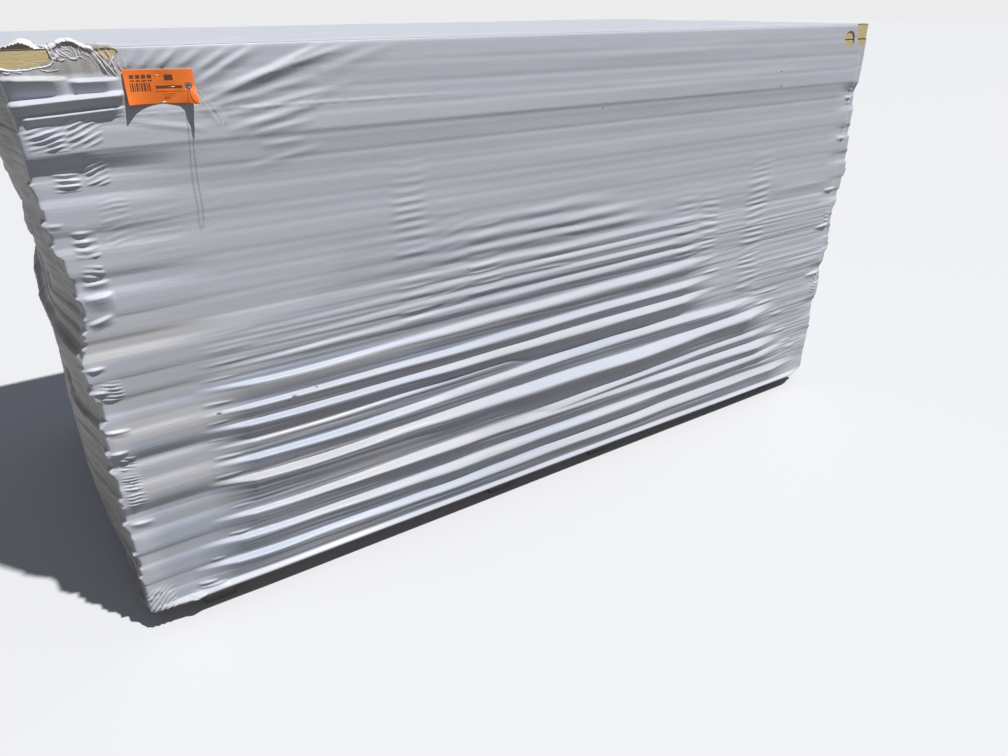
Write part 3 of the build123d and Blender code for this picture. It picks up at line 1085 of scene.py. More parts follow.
# %% One side with its relief
def ring_side(side):
    """The finished points of one side of the ring, and how far along it each one is."""
    along, out, turn = side_grid(side)
    along_way, out_way = side_ways[side]
    heights = np.broadcast_to(row_height[:, None], along.shape)
    insets = np.broadcast_to(row_inset[:, None], along.shape)
    x = along - side_starts[side]
    from_end = side_lengths[side] - x
    from_corner = np.minimum(x, from_end)
    # The relief fades towards the corners and the top, and where the film rolls over an edge
    corner_fade = ease(from_corner, 0, 24)
    if side == "front":
        corner_fade = np.where(heights < 80, ease(from_corner, -6, 10), corner_fade)
    upright = np.cos(np.minimum(insets / roll_radius, 1) * np.pi / 2)
    relief = relief_of(side, from_end if side == "left" else x, heights)
    relief = relief * corner_fade * upright * ease(top_z - heights, -1, 26)
    # The bottom roll stands out, and hangs a little below the stack
    roll_out = 13 * fold_edge_on(heights - roll_radius, 9, 400) * (insets < roll_radius + 1)
    roll_out = roll_out * ease(from_corner, 0, 90) * (heights < 40)
    sag = droop_at(x) if side == "front" else 3 + 3 * drift(x / 300, 0 * x, 3)
    sag = sag * ease(from_corner, -5, 60)
    hang = 1 - ease(heights, 10, 46)
    tucked = 1 - ease(insets, 24, 58)

    points = np.zeros((*along.shape, 3))
    ways = np.cos(turn)[..., None] * out_way + np.sin(turn)[..., None] * along_way
    flat = along[..., None] * along_way + out[..., None] * out_way
    points[..., :2] = flat + (relief + roll_out)[..., None] * ways
    points[..., 2] = heights - sag * hang * tucked
    if side == "front":
        points[..., 2] += top_lift(x, insets) * ease(heights, top_z - 40, top_z)
    return points, x


print("one side's grid is", len(row_height), "rows high")

# %% [markdown]
# ## Openings and tones of the sides
#
# Both openings at the front's upper corners reach round onto the ends. Besides its shape, each
# stretch of film carries a few values from 0 to 1 at its vertices, which the film's finish reads:
# where it is thin, lies right on the boards, or stands off them and gets painted shade, and where the
# left end gets painted shade. An image could carry them too. Values on the mesh need no image, and
# follow the same measures as the folds.

# %% Openings of each side
top_front_y = top_board_low[1]
far_above = 2 * top_z + 60
# On the ends: the frame's y, and height above the stack's foot
left_end_opening = [
    (top_front_y - 60, far_above), (top_front_y - 60, top_z - 29), (top_front_y + 8, top_z - 29),
    (top_front_y + 20, top_z - 22), (top_front_y + 30, top_z - 10), (top_front_y + 36, far_above),
]
right_end_opening = [
    (top_front_y - 60, top_z + 60), (top_front_y - 60, top_z - 50), (top_front_y + 2, top_z - 50),
    (top_front_y + 9, top_z - 30), (top_front_y + 12, top_z + 60),
]
side_openings = {
    "front": ((0, 2), front_openings),
    "right": ((1, 2), (right_end_opening,)),
    "back": ((0, 2), ()),
    "left": ((1, 2), (left_end_opening,)),
}
print({side: len(outlines) for side, (_, outlines) in side_openings.items()}, "openings")

# %% Tones of each side
# Heights between which the front film lies right on the boards near its left corner
touched_boards = ((667, 720), (470, 514), (330, 360), (405, 418))
# Between them it bridges hollows, where the finish paints it darker as shade: height, how much
bridged_hollow_shade = (
    (0, 0.6), (60, 0.7), (110, 1.0), (326, 1.1), (332, 0.05), (358, 0.05), (364, 0.5), (401, 0.6),
    (406, 0.1), (418, 0.1), (423, 0.8), (466, 0.85), (471, 0.0), (513, 0.0), (519, 0.7), (660, 0.45),
    (668, 0.0),
)


def tones_of(side, x, height):
    """How thin, touching and loose the film is at each place of a side, and where its left end gets painted
    shade.
    """
    tones = {label: np.zeros(x.shape) for label in ("thin", "painted_shade", "touching", "loose")}
    if side == "front":
        thin = 0.55 + 0.45 * ease(x, top_left_x + 40, top_left_x + 72)
        thin = thin * (1 - ease(x, top_left_x + 174, top_left_x + 196))
        tones["thin"] = thin * ease(height, top_z - 60, top_z - 34)
        # Where the front film stands off the boards or bridges a hollow, the finish paints shade and
        # reflection
        hollow = np.interp(height, *np.array(bridged_hollow_shade).T)
        hollow = hollow * ease(x, 15, 80) * (1 - ease(x, 300, 420))
        tones["loose"] = np.maximum(stands_off(x, height), hollow)
        for low, high in touched_boards:
            band = ease(height, low - 2, low + 3) * (1 - ease(height, high - 3, high + 2))
            tones["touching"] += band * ease(x, 8, 40) * (1 - ease(x, 150, 330))
    if side == "left":
        # The left end's film gets a painted shade, fading out near its top
        tones["painted_shade"] = ease(board_width - x, -3, 30) * (1 - ease(height, top_z - 26, top_z - 4))
    return tones


print(len(touched_boards), "bands where the film lies on the boards")

# %% Make the four sides
film_pieces = {}
last_row = len(row_height) - 1
# Where the front is parted: two places along it, and one height above its long folds
seam_places = (232.0, 1240.0)
shelf_height = 720.0


def stretch_of_film(name, grid, rows, columns, step=2):
    """Part of a side as one piece: its first and last row and column, and every row or every second."""
    points, dropped, tones = grid
    part = (slice(rows[0], rows[1] + 1, step), slice(columns[0], columns[1] + 1))
    faces = dropped[rows[0]:rows[1], columns[0]:columns[1]]
    if step == 2:
        faces = faces[::2] & faces[1::2]
    part_tones = {label: tone[part] for label, tone in tones.items()}
    film_pieces[name] = sheet_mesh(f"film_{name}", points[part], faces, part_tones)


for side in ring_order:
    points, x = ring_side(side)
    last_column = x.shape[1] - 1
    # The openings are given from the bottom board's left end and the stack's foot
    points[..., 0] -= front_left_x
    dropped = np.zeros((last_row, last_column), bool)
    axes, outlines = side_openings[side]
    for outline in outlines:
        dropped |= cut_opening(points, axes, outline)
    grid = (points, dropped, tones_of(side, x, points[..., 2]))
    points += (front_left_x, 0.0, stack_bottom)
    if side == "front":
        # By the left corner and in the long folds every row is kept, above them every second one
        seams = [int(np.searchsorted(x[last_row // 2], place)) for place in seam_places]
        shelf = 2 * int(np.searchsorted(row_height[8:-12:2], shelf_height) + 4)
        stretch_of_film("front_left", grid, (0, last_row), (0, seams[0]), step=1)
        stretch_of_film("front_low_left", grid, (0, shelf), seams, step=1)
        stretch_of_film("front_low_right", grid, (0, shelf), (seams[1], last_column), step=1)
        stretch_of_film("front", grid, (shelf, last_row), (seams[0], last_column))
    else:
        stretch_of_film(side, grid, (0, last_row), (0, last_column))

# %% [markdown]
# ## Top and underside
#
# Over the top the film lies flat, with slack waves and the creases where it was folded in. It rises
# in loose arches by the torn corner, where nothing holds it down. The underside is closed too, and
# the runners press it flat. Both tuck in under the ring's rolled edge by a few millimetres.


# %% Film over the top
def spread_rows(length, fine_until, fine, coarse):
    """Places from 0 to the length, close together at first and at the very end."""
    near = np.arange(0, fine_until, fine)
    middle = np.arange(fine_until, length - fine_until, coarse)
    return np.concatenate([near, middle, length - near[::-1]])


film_tuck = 6.0
across_x = side_columns["front"] * (board_length - 2 * film_tuck) + top_board_low[0] + film_tuck
depth_y = spread_rows(board_width - 2 * film_tuck, 64, 4.0, 22.0) + film_tuck

top_x, top_depth = np.meshgrid(across_x, depth_y)
edge_near = np.minimum(
    np.minimum(top_depth, board_width - top_depth),
    np.minimum(top_x - top_board_low[0], top_board_high[0] - top_x),
)
# Creases where the film was folded in: start, end, how far up
top_creases = (
    ((120, 40), (900, 420), 2.6), ((300, 30), (1200, 700), 2.2), ((2300, 60), (1500, 640), 2.4),
    ((700, 1180), (1300, 620), 2.6), ((1800, 1190), (2200, 500), 2.0), ((160, 1100), (700, 800), 2.2),
)
slack = ease(edge_near, 8, 70)
waves = 1.6 * drift(top_x / 190, top_depth / 120, 71) + 0.8 * drift(top_x / 60, top_depth / 44, 72)
waves = waves + 0.3 * drift(top_x / 24, top_depth / 18, 73)
top_points = np.zeros((*top_x.shape, 3))
top_points[..., 0] = top_x - front_left_x
top_points[..., 1] = top_depth
top_points[..., 2] = top_z - 0.35 + (waves + 2.8) * slack
for start, end, out in top_creases:
    top_points[..., 2] += crease(top_points[..., 0], top_depth, start, end, out, 12, 14) * slack
top_points[..., 2] += top_lift(top_points[..., 0], top_depth)
print("top grid of", top_x.size, "points")

# %% Openings of the top
tear_on_top = [
    (top_left_x - 60, -60), (top_left_x + 96, -60), (top_left_x + 90, 8), (top_left_x + 74, 16),
    (top_left_x + 56, 22), (top_left_x + 30, 26), (top_left_x + 8, 34), (top_left_x - 60, 38),
]
corner_on_top = [
    (top_right_x - 59, -40), (top_right_x - 55, 10), (top_right_x - 20, 12), (top_right_x + 40, 13),
    (top_right_x + 40, -40),
]
top_dropped = np.zeros((top_x.shape[0] - 1, top_x.shape[1] - 1), bool)
for outline in (tear_on_top, corner_on_top):
    top_dropped |= cut_opening(top_points, (0, 1), outline, pull=2.0)
top_points += (front_left_x, top_board_low[1], stack_bottom)
film_pieces["top"] = sheet_mesh("film_top", top_points, top_dropped, {"thin": np.zeros(top_x.shape)})

# %% Film under the bottom
under_inset = 14
under_x, under_y = np.meshgrid(
    np.linspace(bottom_low[0] + under_inset, bottom_high[0] - under_inset, 90),
    np.linspace(bottom_low[1] + under_inset, bottom_high[1] - under_inset, 60),
)
under_points = np.stack([under_x, under_y, np.full(under_x.shape, stack_bottom - 0.3)], axis=-1)
film_pieces["under"] = sheet_mesh("film_under", under_points)

# %% [markdown]
# ## The torn corner
#
# Where the film tore, its edge didn't end cleanly. It stretched white, curled and split into strips.
# A white ribbon with a saw-toothed edge arches over the corner, a crumpled scrap hangs at its end,
# and thin rolled strands loop over the thin film beside it. Each is a small grid again: a strip
# between two lines, or a roll along one. The lines are given on the front: x from the top board's
# end and z from the film's top, with how far behind the bottom board's face each lies.

# %% Strips and rolls of torn film
stack_front = bottom_low[1]


def even_steps(points, count):
    """The same line in this many even steps, its corners softened."""
    points = np.array(points, float)
    lengths = np.hypot(*np.diff(points, axis=0).T)
    far = np.concatenate([[0.0], np.cumsum(lengths)])
    shares = np.linspace(0.0, far[-1], count)
    line = np.stack([np.interp(shares, far, column) for column in points.T], axis=-1)
    for _ in range(3):
        line[1:-1] = (line[:-2] + 2 * line[1:-1] + line[2:]) / 4
    return line


def film_face(x, z):
    """The frame's y of the front film at these places, in mm."""
    pressed = 1 - ease(x, 120, 330)
    line = side_at("front", z) * (1 - pressed) + line_by_corner("front", z) * pressed
    return -(line + front_relief(x, z) * ease(x, 0, 24) * ease(top_z - z, -1, 26))


def corner_points(x, z, y):
    """Places by the torn corner as frame points in mm."""
    return np.stack([x + top_left_x + front_left_x, y, z + top_z + stack_bottom], axis=-1)


def torn_strip(upper, lower, behind, crumple=0.6, rag=0.0, belly=0.0, seed=0, rows=10, step=1.3):
    """A strip between two lines; the lower edge is ragged, the middle bellies out.

    Behind says how far the upper and the lower edge lie behind the bottom board's face.
    """
    count = int(max(np.ptp([place[0] for place in upper]), 16) / step) + 2
    high = even_steps(upper, count)
    low = even_steps(lower, count)
    share = np.linspace(0, 1, rows)[:, None]
    along = np.arange(count)[None, :] * step
    teeth = np.abs((along / 5.3 + 0.4 * drift(along / 9, 0 * along, seed)) % 1.0 * 2 - 1)
    x = high[None, :, 0] * (1 - share) + low[None, :, 0] * share
    z = high[None, :, 1] * (1 - share) + low[None, :, 1] * share
    z = z + rag * teeth * ease(share, 0.6, 1.0) + 0.3 * belly * np.sin(np.pi * share)
    y = stack_front + behind[0] * (1 - share) + behind[1] * share - belly * np.sin(np.pi * share)
    noise_places = (x / 4.5 + 20, z / 4.5 + 40)
    y = y + crumple * drift(*noise_places, seed + 1)
    z = z + 0.7 * crumple * drift(*noise_places, seed + 2)
    return corner_points(x, z, y)


def film_roll(path, radius, forward=0.4, seed=0, step=1.2):
    """A thin roll of film that lies on the front film along a path."""
    lengths = np.hypot(*np.diff(np.array(path, float), axis=0).T)
    count = int(lengths.sum() / step) + 3
    line = even_steps(path, count)
    share = np.linspace(0, 1, count)
    uneven = 1 + 0.3 * drift(share * 9, 0 * share, seed)
    thick = radius * (0.25 + 0.75 * np.sin(np.pi * share) ** 0.6) * uneven
    middle_y = film_face(line[:, 0] + top_left_x, line[:, 1] + top_z) - forward
    way = np.gradient(line, axis=0)
    way = way / np.maximum(np.hypot(way[:, 0], way[:, 1]), 1e-6)[:, None]
    turns = np.linspace(0, 2 * np.pi, 9)[:, None]
    side_x = -way[None, :, 1] * np.cos(turns) * thick
    side_z = way[None, :, 0] * np.cos(turns) * thick
    y = middle_y[None, :] - np.sin(turns) * thick
    return corner_points(line[None, :, 0] + side_x, line[None, :, 1] + side_z, y)


print("strips and rolls can be made")

# %% Strips of the torn corner
# The white ribbon: its crest, its saw-toothed front edge, and its rear edge on the loose film
arch_crest = (
    (10, 3), (20, 6), (28, 9), (35, 14), (42, 16), (48, 16), (53, 15), (58, 12), (63, 7), (68, 2),
    (73, -1), (80, 3), (88, 8),
)
arch_teeth = (
    (10, 1), (22, 3), (27, 5), (33, 6), (39, 9), (45, 7), (50, 5), (55, 2), (60, -2), (65, -6),
    (71, -8), (75, -12), (81, -15), (87, -18),
)
arch_depth = 46.0
arch_rear = [
    (x, float(top_lift(np.array(x + top_left_x), np.array(arch_depth))) + 2.2) for x, _ in arch_crest
]
# The curled lip under the tear
lip_edge = (
    (-4, -27), (3, -28), (14, -30), (25, -31), (34, -30), (42, -30), (51, -28), (62, -27), (70, -26),
    (77, -24), (84, -18),
)
lip_foot = [(x, z - 3.5) for x, z in lip_edge]
# The loop of film between the two tears, and the hem over the second one
loop_top = (
    (82, 5), (89, 9), (96, 13), (103, 15), (111, 16), (118, 15), (125, 12), (132, 7), (139, 4), (148, 2),
)
loop_foot = (
    (84, -2), (91, 2), (97, 6), (104, 9), (111, 10), (118, 8), (124, 5), (131, 1), (138, -3), (148, -5),
)
hem_top = ((139, 3), (147, 6), (155, 7), (163, 7), (171, 5), (178, 1), (188, -1), (211, 0))
hem_foot = ((142, -2), (150, -2), (157, -3), (164, -3), (171, -4), (178, -7), (188, -8), (208, -4))
# The crumpled scraps at the ribbon's end
scrap_top = ((76, 6), (84, 8), (94, 6))
scrap_foot = ((82, -20), (88, -25), (95, -18))
small_scrap_top = ((70, 0), (80, 4), (88, 5))
small_scrap_foot = ((66, -9), (78, -15), (88, -16))

fine = {"rows": 12, "step": 1.0}
scraps = [
    torn_strip(arch_crest, arch_teeth, (15, 3), rag=2.6, belly=2.5, crumple=0.9, seed=101),
    torn_strip(arch_rear, arch_crest, (46, 15), belly=-1.0, crumple=0.7, seed=104),
    torn_strip(scrap_top, scrap_foot, (2, -4), 3.4, rag=3.0, belly=4.0, seed=107, rows=16, step=1.0),
    torn_strip(small_scrap_top, small_scrap_foot, (6, -2), 2.2, rag=3.0, belly=2.0, seed=110, **fine),
    torn_strip(lip_edge, lip_foot, (-5, -7), rag=1.2, belly=0.4, crumple=0.4, seed=113),
    torn_strip(loop_top, loop_foot, (-1, -8), belly=2.0, crumple=1.3, rag=1.5, seed=116, **fine),
    torn_strip(hem_top, hem_foot, (2, -1), belly=0.5, crumple=0.7, rag=1.0, seed=119),
]
print(len(scraps), "torn strips")

# %% Rolls of the torn corner
# Each one: its path, and how thick it is
rolled_paths = (
    (((92, 3), (95, -3), (100, -8), (105, -11), (110, -17), (118, -18), (121, -17), (121, -10), (119, -4),
      (115, 3), (107, 8), (97, 6)), 1.3),
    (((136, 2), (141, -3), (150, -14), (157, -29), (165, -46)), 1.4),
    (((145, 0), (150, -6), (158, -18), (168, -33), (176, -47)), 1.5),
    (((179, -14), (175, -22), (176, -32), (179, -44)), 1.1),
    (((168, -33), (175, -22), (180, -16)), 0.9), (((127, 2), (126, -6), (126, -14)), 1.2),
    (((132, -4), (142, -16), (148, -26), (152, -36)), 0.8), (((186, -14), (184, -30), (190, -48)), 0.9),
    (((100, -4), (106, -2), (113, -4), (116, -10)), 0.9), (((88, -16), (96, -20), (104, -17)), 1.0),
    (((94, 6), (100, 2), (107, 0), (114, 2)), 0.9), (((88, 2), (92, -6), (98, -12), (106, -15)), 1.0),
    (((122, 6), (128, 0), (131, -8), (138, -14)), 1.0), (((104, -6), (110, -9), (114, -14)), 0.7),
    (((118, -20), (124, -14), (130, -16), (134, -22)), 0.8), (((160, -20), (163, -30), (170, -44)), 0.9),
    (((152, -8), (160, -12), (170, -20), (178, -26)), 0.8), (((60, -33), (72, -36), (90, -34)), 0.8),
    (((4, -35), (9, -37), (16, -36)), 1.0), (((20, -35), (26, -35), (33, -37)), 0.8),
    (((196, -2), (193, -20), (196, -50)), 0.7), (((156, -2), (163, -12), (168, -22)), 0.8),
    (((168, -2), (173, -12), (176, -22)), 0.7),
)
for i, (path, radius) in enumerate(rolled_paths):
    scraps.append(film_roll(path, radius, seed=131 + i))
film_scraps = joined_sheets("film_scraps", scraps)

# %% Finish of the torn film
# Film stretched white, with tiny creases. Its faint emission is a painted glow that stands in for the
# daylight coming through the film and lighting the hollow under it
stretched = Finish("stretched_film")
crumples = stretched.noise(stretched.places(), 320.0, detail=4.0)
film_scraps.data.materials.append(stretched.surface(
    Base_Color=stretched.mix(crumples, (0.66, 0.66, 0.68), (0.82, 0.83, 0.86)), Roughness=0.3,
    Specular_IOR_Level=0.45, Normal=stretched.bump(crumples, 0.0008, 0.5),
    Emission_Color=(0.34, 0.27, 0.24), Emission_Strength=0.16,
))
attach(film_scraps, "root")
print(len(scraps), "scraps and rolls by the torn corner")

# %% [markdown]
# ## Film finish
#
# The film is a milky, slightly blue white with a soft shine. Most of its grey bands are light on the
# folds, so the base colour gets only faint streaks. Some tones are the film's own: it is warmer where
# it lies right on the boards, and tan where it is thin enough to show the foam. Others are painted
# light: painted shade and a painted reflection make it darker and more varied where it stands off the
# boards, and painted shade makes the left end brown and streaked. A see-through film would be closest
# to the real one, but slow and noisy to render, so it is solid, with a faint painted glow on its inside.


# %% Film
# Small dirty scuffs: x from the left end, z above the stack's foot, width
# Depth isn't given, so the front's scuffs show on the back as well
scuffs = (
    (240, 484, 10), (412, 480, 12), (398, 474, 7), (470, 486, 6), (397, 315, 8), (2035, 1119, 9),
    (2043, 1077, 9), (1330, 1062, 6), (905, 700, 6),
)
scuff_squeeze = 2.4


def scuffed(film):
    """How dirty the film is: specks within each scuff's reach."""
    speckle = film.noise(film.places(), 420.0, detail=2.0)
    # Scuffs are wider than high, so heights count more
    flat_place = film.places((1.0, 0.0, scuff_squeeze))
    dirt = 0.0
    for x, z, width in scuffs:
        middle = ((front_left_x + x) * MM, 0.0, (stack_bottom + z) * MM * scuff_squeeze)
        inputs = {0: flat_place, 1: middle}
        away = film.add("ShaderNodeVectorMath", inputs, operation="DISTANCE").outputs["Value"]
        near = film.math("SUBTRACT", 1.0, film.math("DIVIDE", away, width * MM))
        dirt = film.math("MAXIMUM", dirt, film.math("MULTIPLY", near, speckle))
    return film.mask(dirt, 0.16, 0.30, full=0.85)


def film_colour(film, streaks, painted_shade):
    """Milky white, then over it the tones of touching and thin film, painted shade and reflection where it
    is loose, painted shade on the left end, and scuffs.
    """
    clouds = film.noise(film.places(), 2.2)
    milky = film.mix(streaks, (0.535, 0.565, 0.63), (0.59, 0.61, 0.665))
    milky = film.mix(film.math("MULTIPLY", clouds, 0.5), milky, (0.585, 0.59, 0.61))
    bands = film.noise(film.places((0.5, 0.5, 9.0)), 3.0, detail=1.0)
    milky = film.mix(film.mask(bands, 0.52, 0.70, full=0.6), milky, (0.595, 0.60, 0.615))
    touching = film.math("MULTIPLY", film.painted("touching"), 0.7)
    milky = film.mix(touching, milky, (0.64, 0.625, 0.625))
    # Where the film stands off the boards it is painted darker and bluer: painted shade and a painted
    # reflection of the dark ground
    painted_reflection = film.noise(film.places((0.6, 0.6, 11.0)), 3.4)
    painted_reflection = film.ramp(painted_reflection, (0.38, (0.425, 0.46, 0.535)), (0.62, (0.475, 0.475, 0.495)))
    milky = film.mix(film.math("MULTIPLY", film.painted("loose"), 0.9), milky, painted_reflection)
    # The left end is painted darker and warmer in slanting streaks, a painted shade
    slanted = film.places((1, 2, 40), turn=(math.radians(-48), 0, 0))
    slanting_streaks = film.mask(film.noise(slanted, 3.5, detail=4.0), 0.42, 0.66)
    shaded_end_colour = film.mix(slanting_streaks, (0.26, 0.225, 0.195), (0.57, 0.53, 0.49))
    milky = film.mix(film.math("MULTIPLY", painted_shade, 0.85), milky, shaded_end_colour)
    blotches = film.mask(film.noise(film.places((2.0, 1.0, 1.0)), 30.0, detail=4.0), 0.35, 0.65)
    tan = film.mix(blotches, (0.31, 0.27, 0.21), (0.56, 0.54, 0.51))
    colour = film.mix(film.math("MULTIPLY", film.painted("thin"), 0.8), milky, tan)
    return film.mix(scuffed(film), colour, (0.10, 0.085, 0.07))


def film_finish():
    """Milky plastic film with stretch marks, a soft shine and a faint painted glow inside."""
    film = Finish("wrap_film")
    streaks = film.noise(film.places((3.0, 3.0, 26.0)), 4.0, detail=4.0)
    painted_shade = film.painted("painted_shade")
    fine = film.noise(film.places((6.0, 6.0, 60.0)), 10.0, detail=3.0)
    ripples = film.noise(film.places((4.0, 4.0, 18.0)), 12.0)
    relief = film.bump(ripples, 0.0015, 0.10, below=film.bump(fine, 0.0005, 0.25))
    rough = film.math("ADD", film.math("MULTIPLY", streaks, 0.12), 0.40)
    shine = film.math("SUBTRACT", 0.04, film.math("MULTIPLY", painted_shade, 0.04))
    # From inside, a faint painted glow stands in for the daylight that the film lets through
    inside = film.add("ShaderNodeNewGeometry").outputs["Backfacing"]
    through = film.mix(inside, (0.0, 0.0, 0.0), (0.060, 0.047, 0.041))
    return film.surface(
        Base_Color=film_colour(film, streaks, painted_shade), Roughness=rough, Specular_IOR_Level=0.2,
        Coat_Weight=shine, Coat_Roughness=0.2, Normal=relief, Emission_Color=through,
        Emission_Strength=1.0,
    )


film_material = film_finish()
for piece in film_pieces.values():
    piece.data.materials.append(film_material)
    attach(piece, "root")
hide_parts("bundle_wrap")
print(len(film_pieces), "stretches of film")

# %% [markdown]
# ## Boards and runners
#
# The boards keep their CAD solids, because their shape is plain and true: only a finish is needed.
# The cut edge is fine closed-cell foam between two thin dark facers. The facers are painted by
# height, since every board starts one thickness above the last. The runners are strips of the same
# foam with no facers on their sides.


# %% Foam
def foam_colour(foam, dark, light):
    """Cut foam: fine cells, saw marks and slow yellowing."""
    cells = foam.add("ShaderNodeTexVoronoi", {"Vector": foam.places(), "Scale": 420.0})
    saw = foam.noise(foam.places((1.0, 1.0, 9.0)), 60.0, detail=3.0)
    age = foam.noise(foam.places(), 9.0, detail=3.0)
    shade = foam.math("ADD", foam.math("MULTIPLY", saw, 0.5), foam.math("MULTIPLY", age, 0.5))
    relief = foam.bump(cells.outputs["Distance"], 0.0006, 0.5)
    return foam.mix(shade, dark, light), foam.bump(saw, 0.0012, 0.5, below=relief)


def board_finish():
    """Foam with a dark facer along the top and bottom of every board."""
    foam = Finish("faced_foam")
    colour, relief = foam_colour(foam, (0.56, 0.42, 0.18), (0.84, 0.71, 0.41))
    # Each board's share from 0 at its foot to 1 at its top, then how far that is from a joint
    up = foam.math("SUBTRACT", foam.upward(foam.places()), (stack_bottom - 0.01) * MM)
    layer = foam.math("FRACT", foam.math("DIVIDE", up, board_thickness * MM))
    from_middle = foam.math("ABSOLUTE", foam.math("SUBTRACT", layer, 0.5))
    from_joint = foam.math("SUBTRACT", 0.5, from_middle)
    facer_share = 1.8 / board_thickness
    wobble = foam.math("MULTIPLY", foam.noise(foam.places(), 90.0), 0.5 * facer_share)
    facer = foam.math("LESS_THAN", from_joint, foam.math("ADD", wobble, facer_share * 0.75))
    grain = foam.noise(foam.places(), 160.0)
    paper = foam.mix(grain, (0.045, 0.024, 0.015), (0.095, 0.055, 0.036))
    # Upward faces get a paler facer colour, a painted light on the shaded top of the upper board
    facing_up = foam.upward(foam.add("ShaderNodeNewGeometry").outputs["Normal"])
    paper = foam.mix(facing_up, paper, (0.30, 0.24, 0.20))
    # A faint painted glow on upward faces stands in for the daylight that the milky film lets through onto
    # the topmost facer
    through = foam.mix(facing_up, (0.0, 0.0, 0.0), (0.055, 0.042, 0.036))
    return foam.surface(
        Base_Color=foam.mix(facer, colour, paper), Roughness=0.85, Normal=relief,
        Emission_Color=through, Emission_Strength=1.0,
    )


runner_shade_height = 0.05


def runner_finish():
    """Bare foam, paler than the boards' edges, with a painted shade that darkens it near the ground."""
    foam = Finish("runner_foam")
    colour, relief = foam_colour(foam, (0.40, 0.36, 0.28), (0.56, 0.51, 0.41))
    # Painted shade: the foam is darker towards the ground
    height = foam.math("DIVIDE", foam.upward(foam.places()), runner_shade_height)
    painted_shade = foam.ramp(height, (0.0, (0.8, 0.8, 0.8)), (1.0, (0.2, 0.2, 0.2)))
    colour = foam.mix(painted_shade, colour, (0.30, 0.27, 0.23))
    return foam.surface(Base_Color=colour, Roughness=0.9, Normal=relief)


board_material = board_finish()
runner_material = runner_finish()
for name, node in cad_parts.items():
    if name.startswith(("board_", "runner_")):
        node.data.materials.clear()
        node.data.materials.append(board_material if name.startswith("board_") else runner_material)
print("foam on", len(board_names), "boards and 4 runners")

# %% [markdown]
# ## The tag
#
# The tag is a thin card held by four staples. It lies almost flat along its top, and its lower
# corners curl out. Each staple pulls a dimple into it. The CAD card has the right bow but no
# dimples, so a fine grid replaces it, with the hole for the washer cut out of the grid.

# %% Places on the tag
eyelet_low, eyelet_high = box_mm("tag_eyelet")
eyelet_centre = (eyelet_low + eyelet_high) / 2
tag_tilt = math.radians(-1.6)
tag_length = 121.0
tag_height = 60.0
tag_thickness = 0.5
tag_lift_top = 2.5
tag_lift_bottom = 14.0
washer_from_end = 12.0
tag_seat_y = tag_high[1]
tag_middle_x = (tag_low[0] + tag_high[0]) / 2 - tag_height / 2 * math.sin(-tag_tilt)
tag_foot_z = (tag_low[2] + tag_high[2]) / 2 - tag_height / 2 * math.cos(tag_tilt)

# Staples: middle along from the card's middle, up from its foot, turn in degrees
staples = ((-1.5, 49.5, -4), (19.5, 29.0, 3), (-39.0, 24.5, 86), (0.5, 3.0, 5))


def tag_stand_off(along, up):
    """How far the card's front stands off the film."""
    lift = tag_lift_bottom + (tag_lift_top - tag_lift_bottom) * up / tag_height
    radius = ((tag_length / 2) ** 2 + lift**2) / (2 * lift)
    bow = radius - np.sqrt(radius**2 - along**2)
    curl = 23.0 * ease(along, 26, 64) ** 1.5 + 5.0 * ease(-along, 34, 64) ** 1.5
    curl = curl * (1 - ease(up, -14, 34))
    dimples = np.zeros_like(bow)
    for staple_along, staple_up, _ in staples:
        away = np.hypot((along - staple_along) / 1.5, up - staple_up)
        dimples = dimples + 0.5 * np.exp(-0.5 * (away / 3.6) ** 2)
    ripple = 0.35 * drift(along / 17 + 50, up / 15 + 50, 81)
    return bow + curl + tag_thickness + 1.6 - dimples + ripple


def on_tag(along, up, off=0.0):
    """A place on the card, in mm in the frame."""
    along = np.asarray(along, float)
    up = np.asarray(up, float)
    x = tag_middle_x + along * math.cos(tag_tilt) - up * math.sin(tag_tilt)
    y = tag_seat_y - tag_stand_off(along, up) - off
    z = tag_foot_z + along * math.sin(tag_tilt) + up * math.cos(tag_tilt)
    return np.stack([x, y, z], axis=-1)


eyelet_along = tag_length / 2 - washer_from_end
eyelet_up = tag_height / 2
print("tag seat", round(float(tag_seat_y), 1), "eyelet at", on_tag(eyelet_along, eyelet_up).round(1))

# %% Card
tag_along, tag_up = np.meshgrid(
    np.linspace(-tag_length / 2, tag_length / 2, 111), np.linspace(0, tag_height, 56)
)
hole_turns = np.linspace(0, 2 * np.pi, 33)[:-1]
hole_radius = 6.2
card_grid = np.stack([tag_along, tag_up], axis=-1)
card_hole = [
    (eyelet_along + hole_radius * math.cos(t), eyelet_up + hole_radius * math.sin(t)) for t in hole_turns
]
card_dropped = cut_opening(card_grid, (0, 1), card_hole, pull=0.6)
card_points = on_tag(card_grid[..., 0], card_grid[..., 1])
tag_card = sheet_mesh("tag_card", card_points, card_dropped)
solid = tag_card.modifiers.new("thickness", "SOLIDIFY")
solid.thickness = tag_thickness * MM
solid.offset = -1.0

# Orange card with a faint fibre and slight fading
card = Finish("tag_card")
fade = card.noise(card.places(), 30.0, detail=3.0)
fibre = card.noise(card.places(), 900.0)
tag_card.data.materials.append(card.surface(
    Base_Color=card.mix(fade, (0.90, 0.175, 0.018), (0.98, 0.24, 0.03)), Roughness=0.55,
    Normal=card.bump(fibre, 0.0001, 0.4),
))
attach(tag_card, "root")
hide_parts("lot_tag")

# %% [markdown]
# ## Print on the tag
#
# The real card is printed. Its words and marks aren't copied: in their place stand plain blocks, a
# row of bars and some ruled lines, of about the same weight. They are thin patches that follow the
# card's bow, a tenth of a millimetre above it.


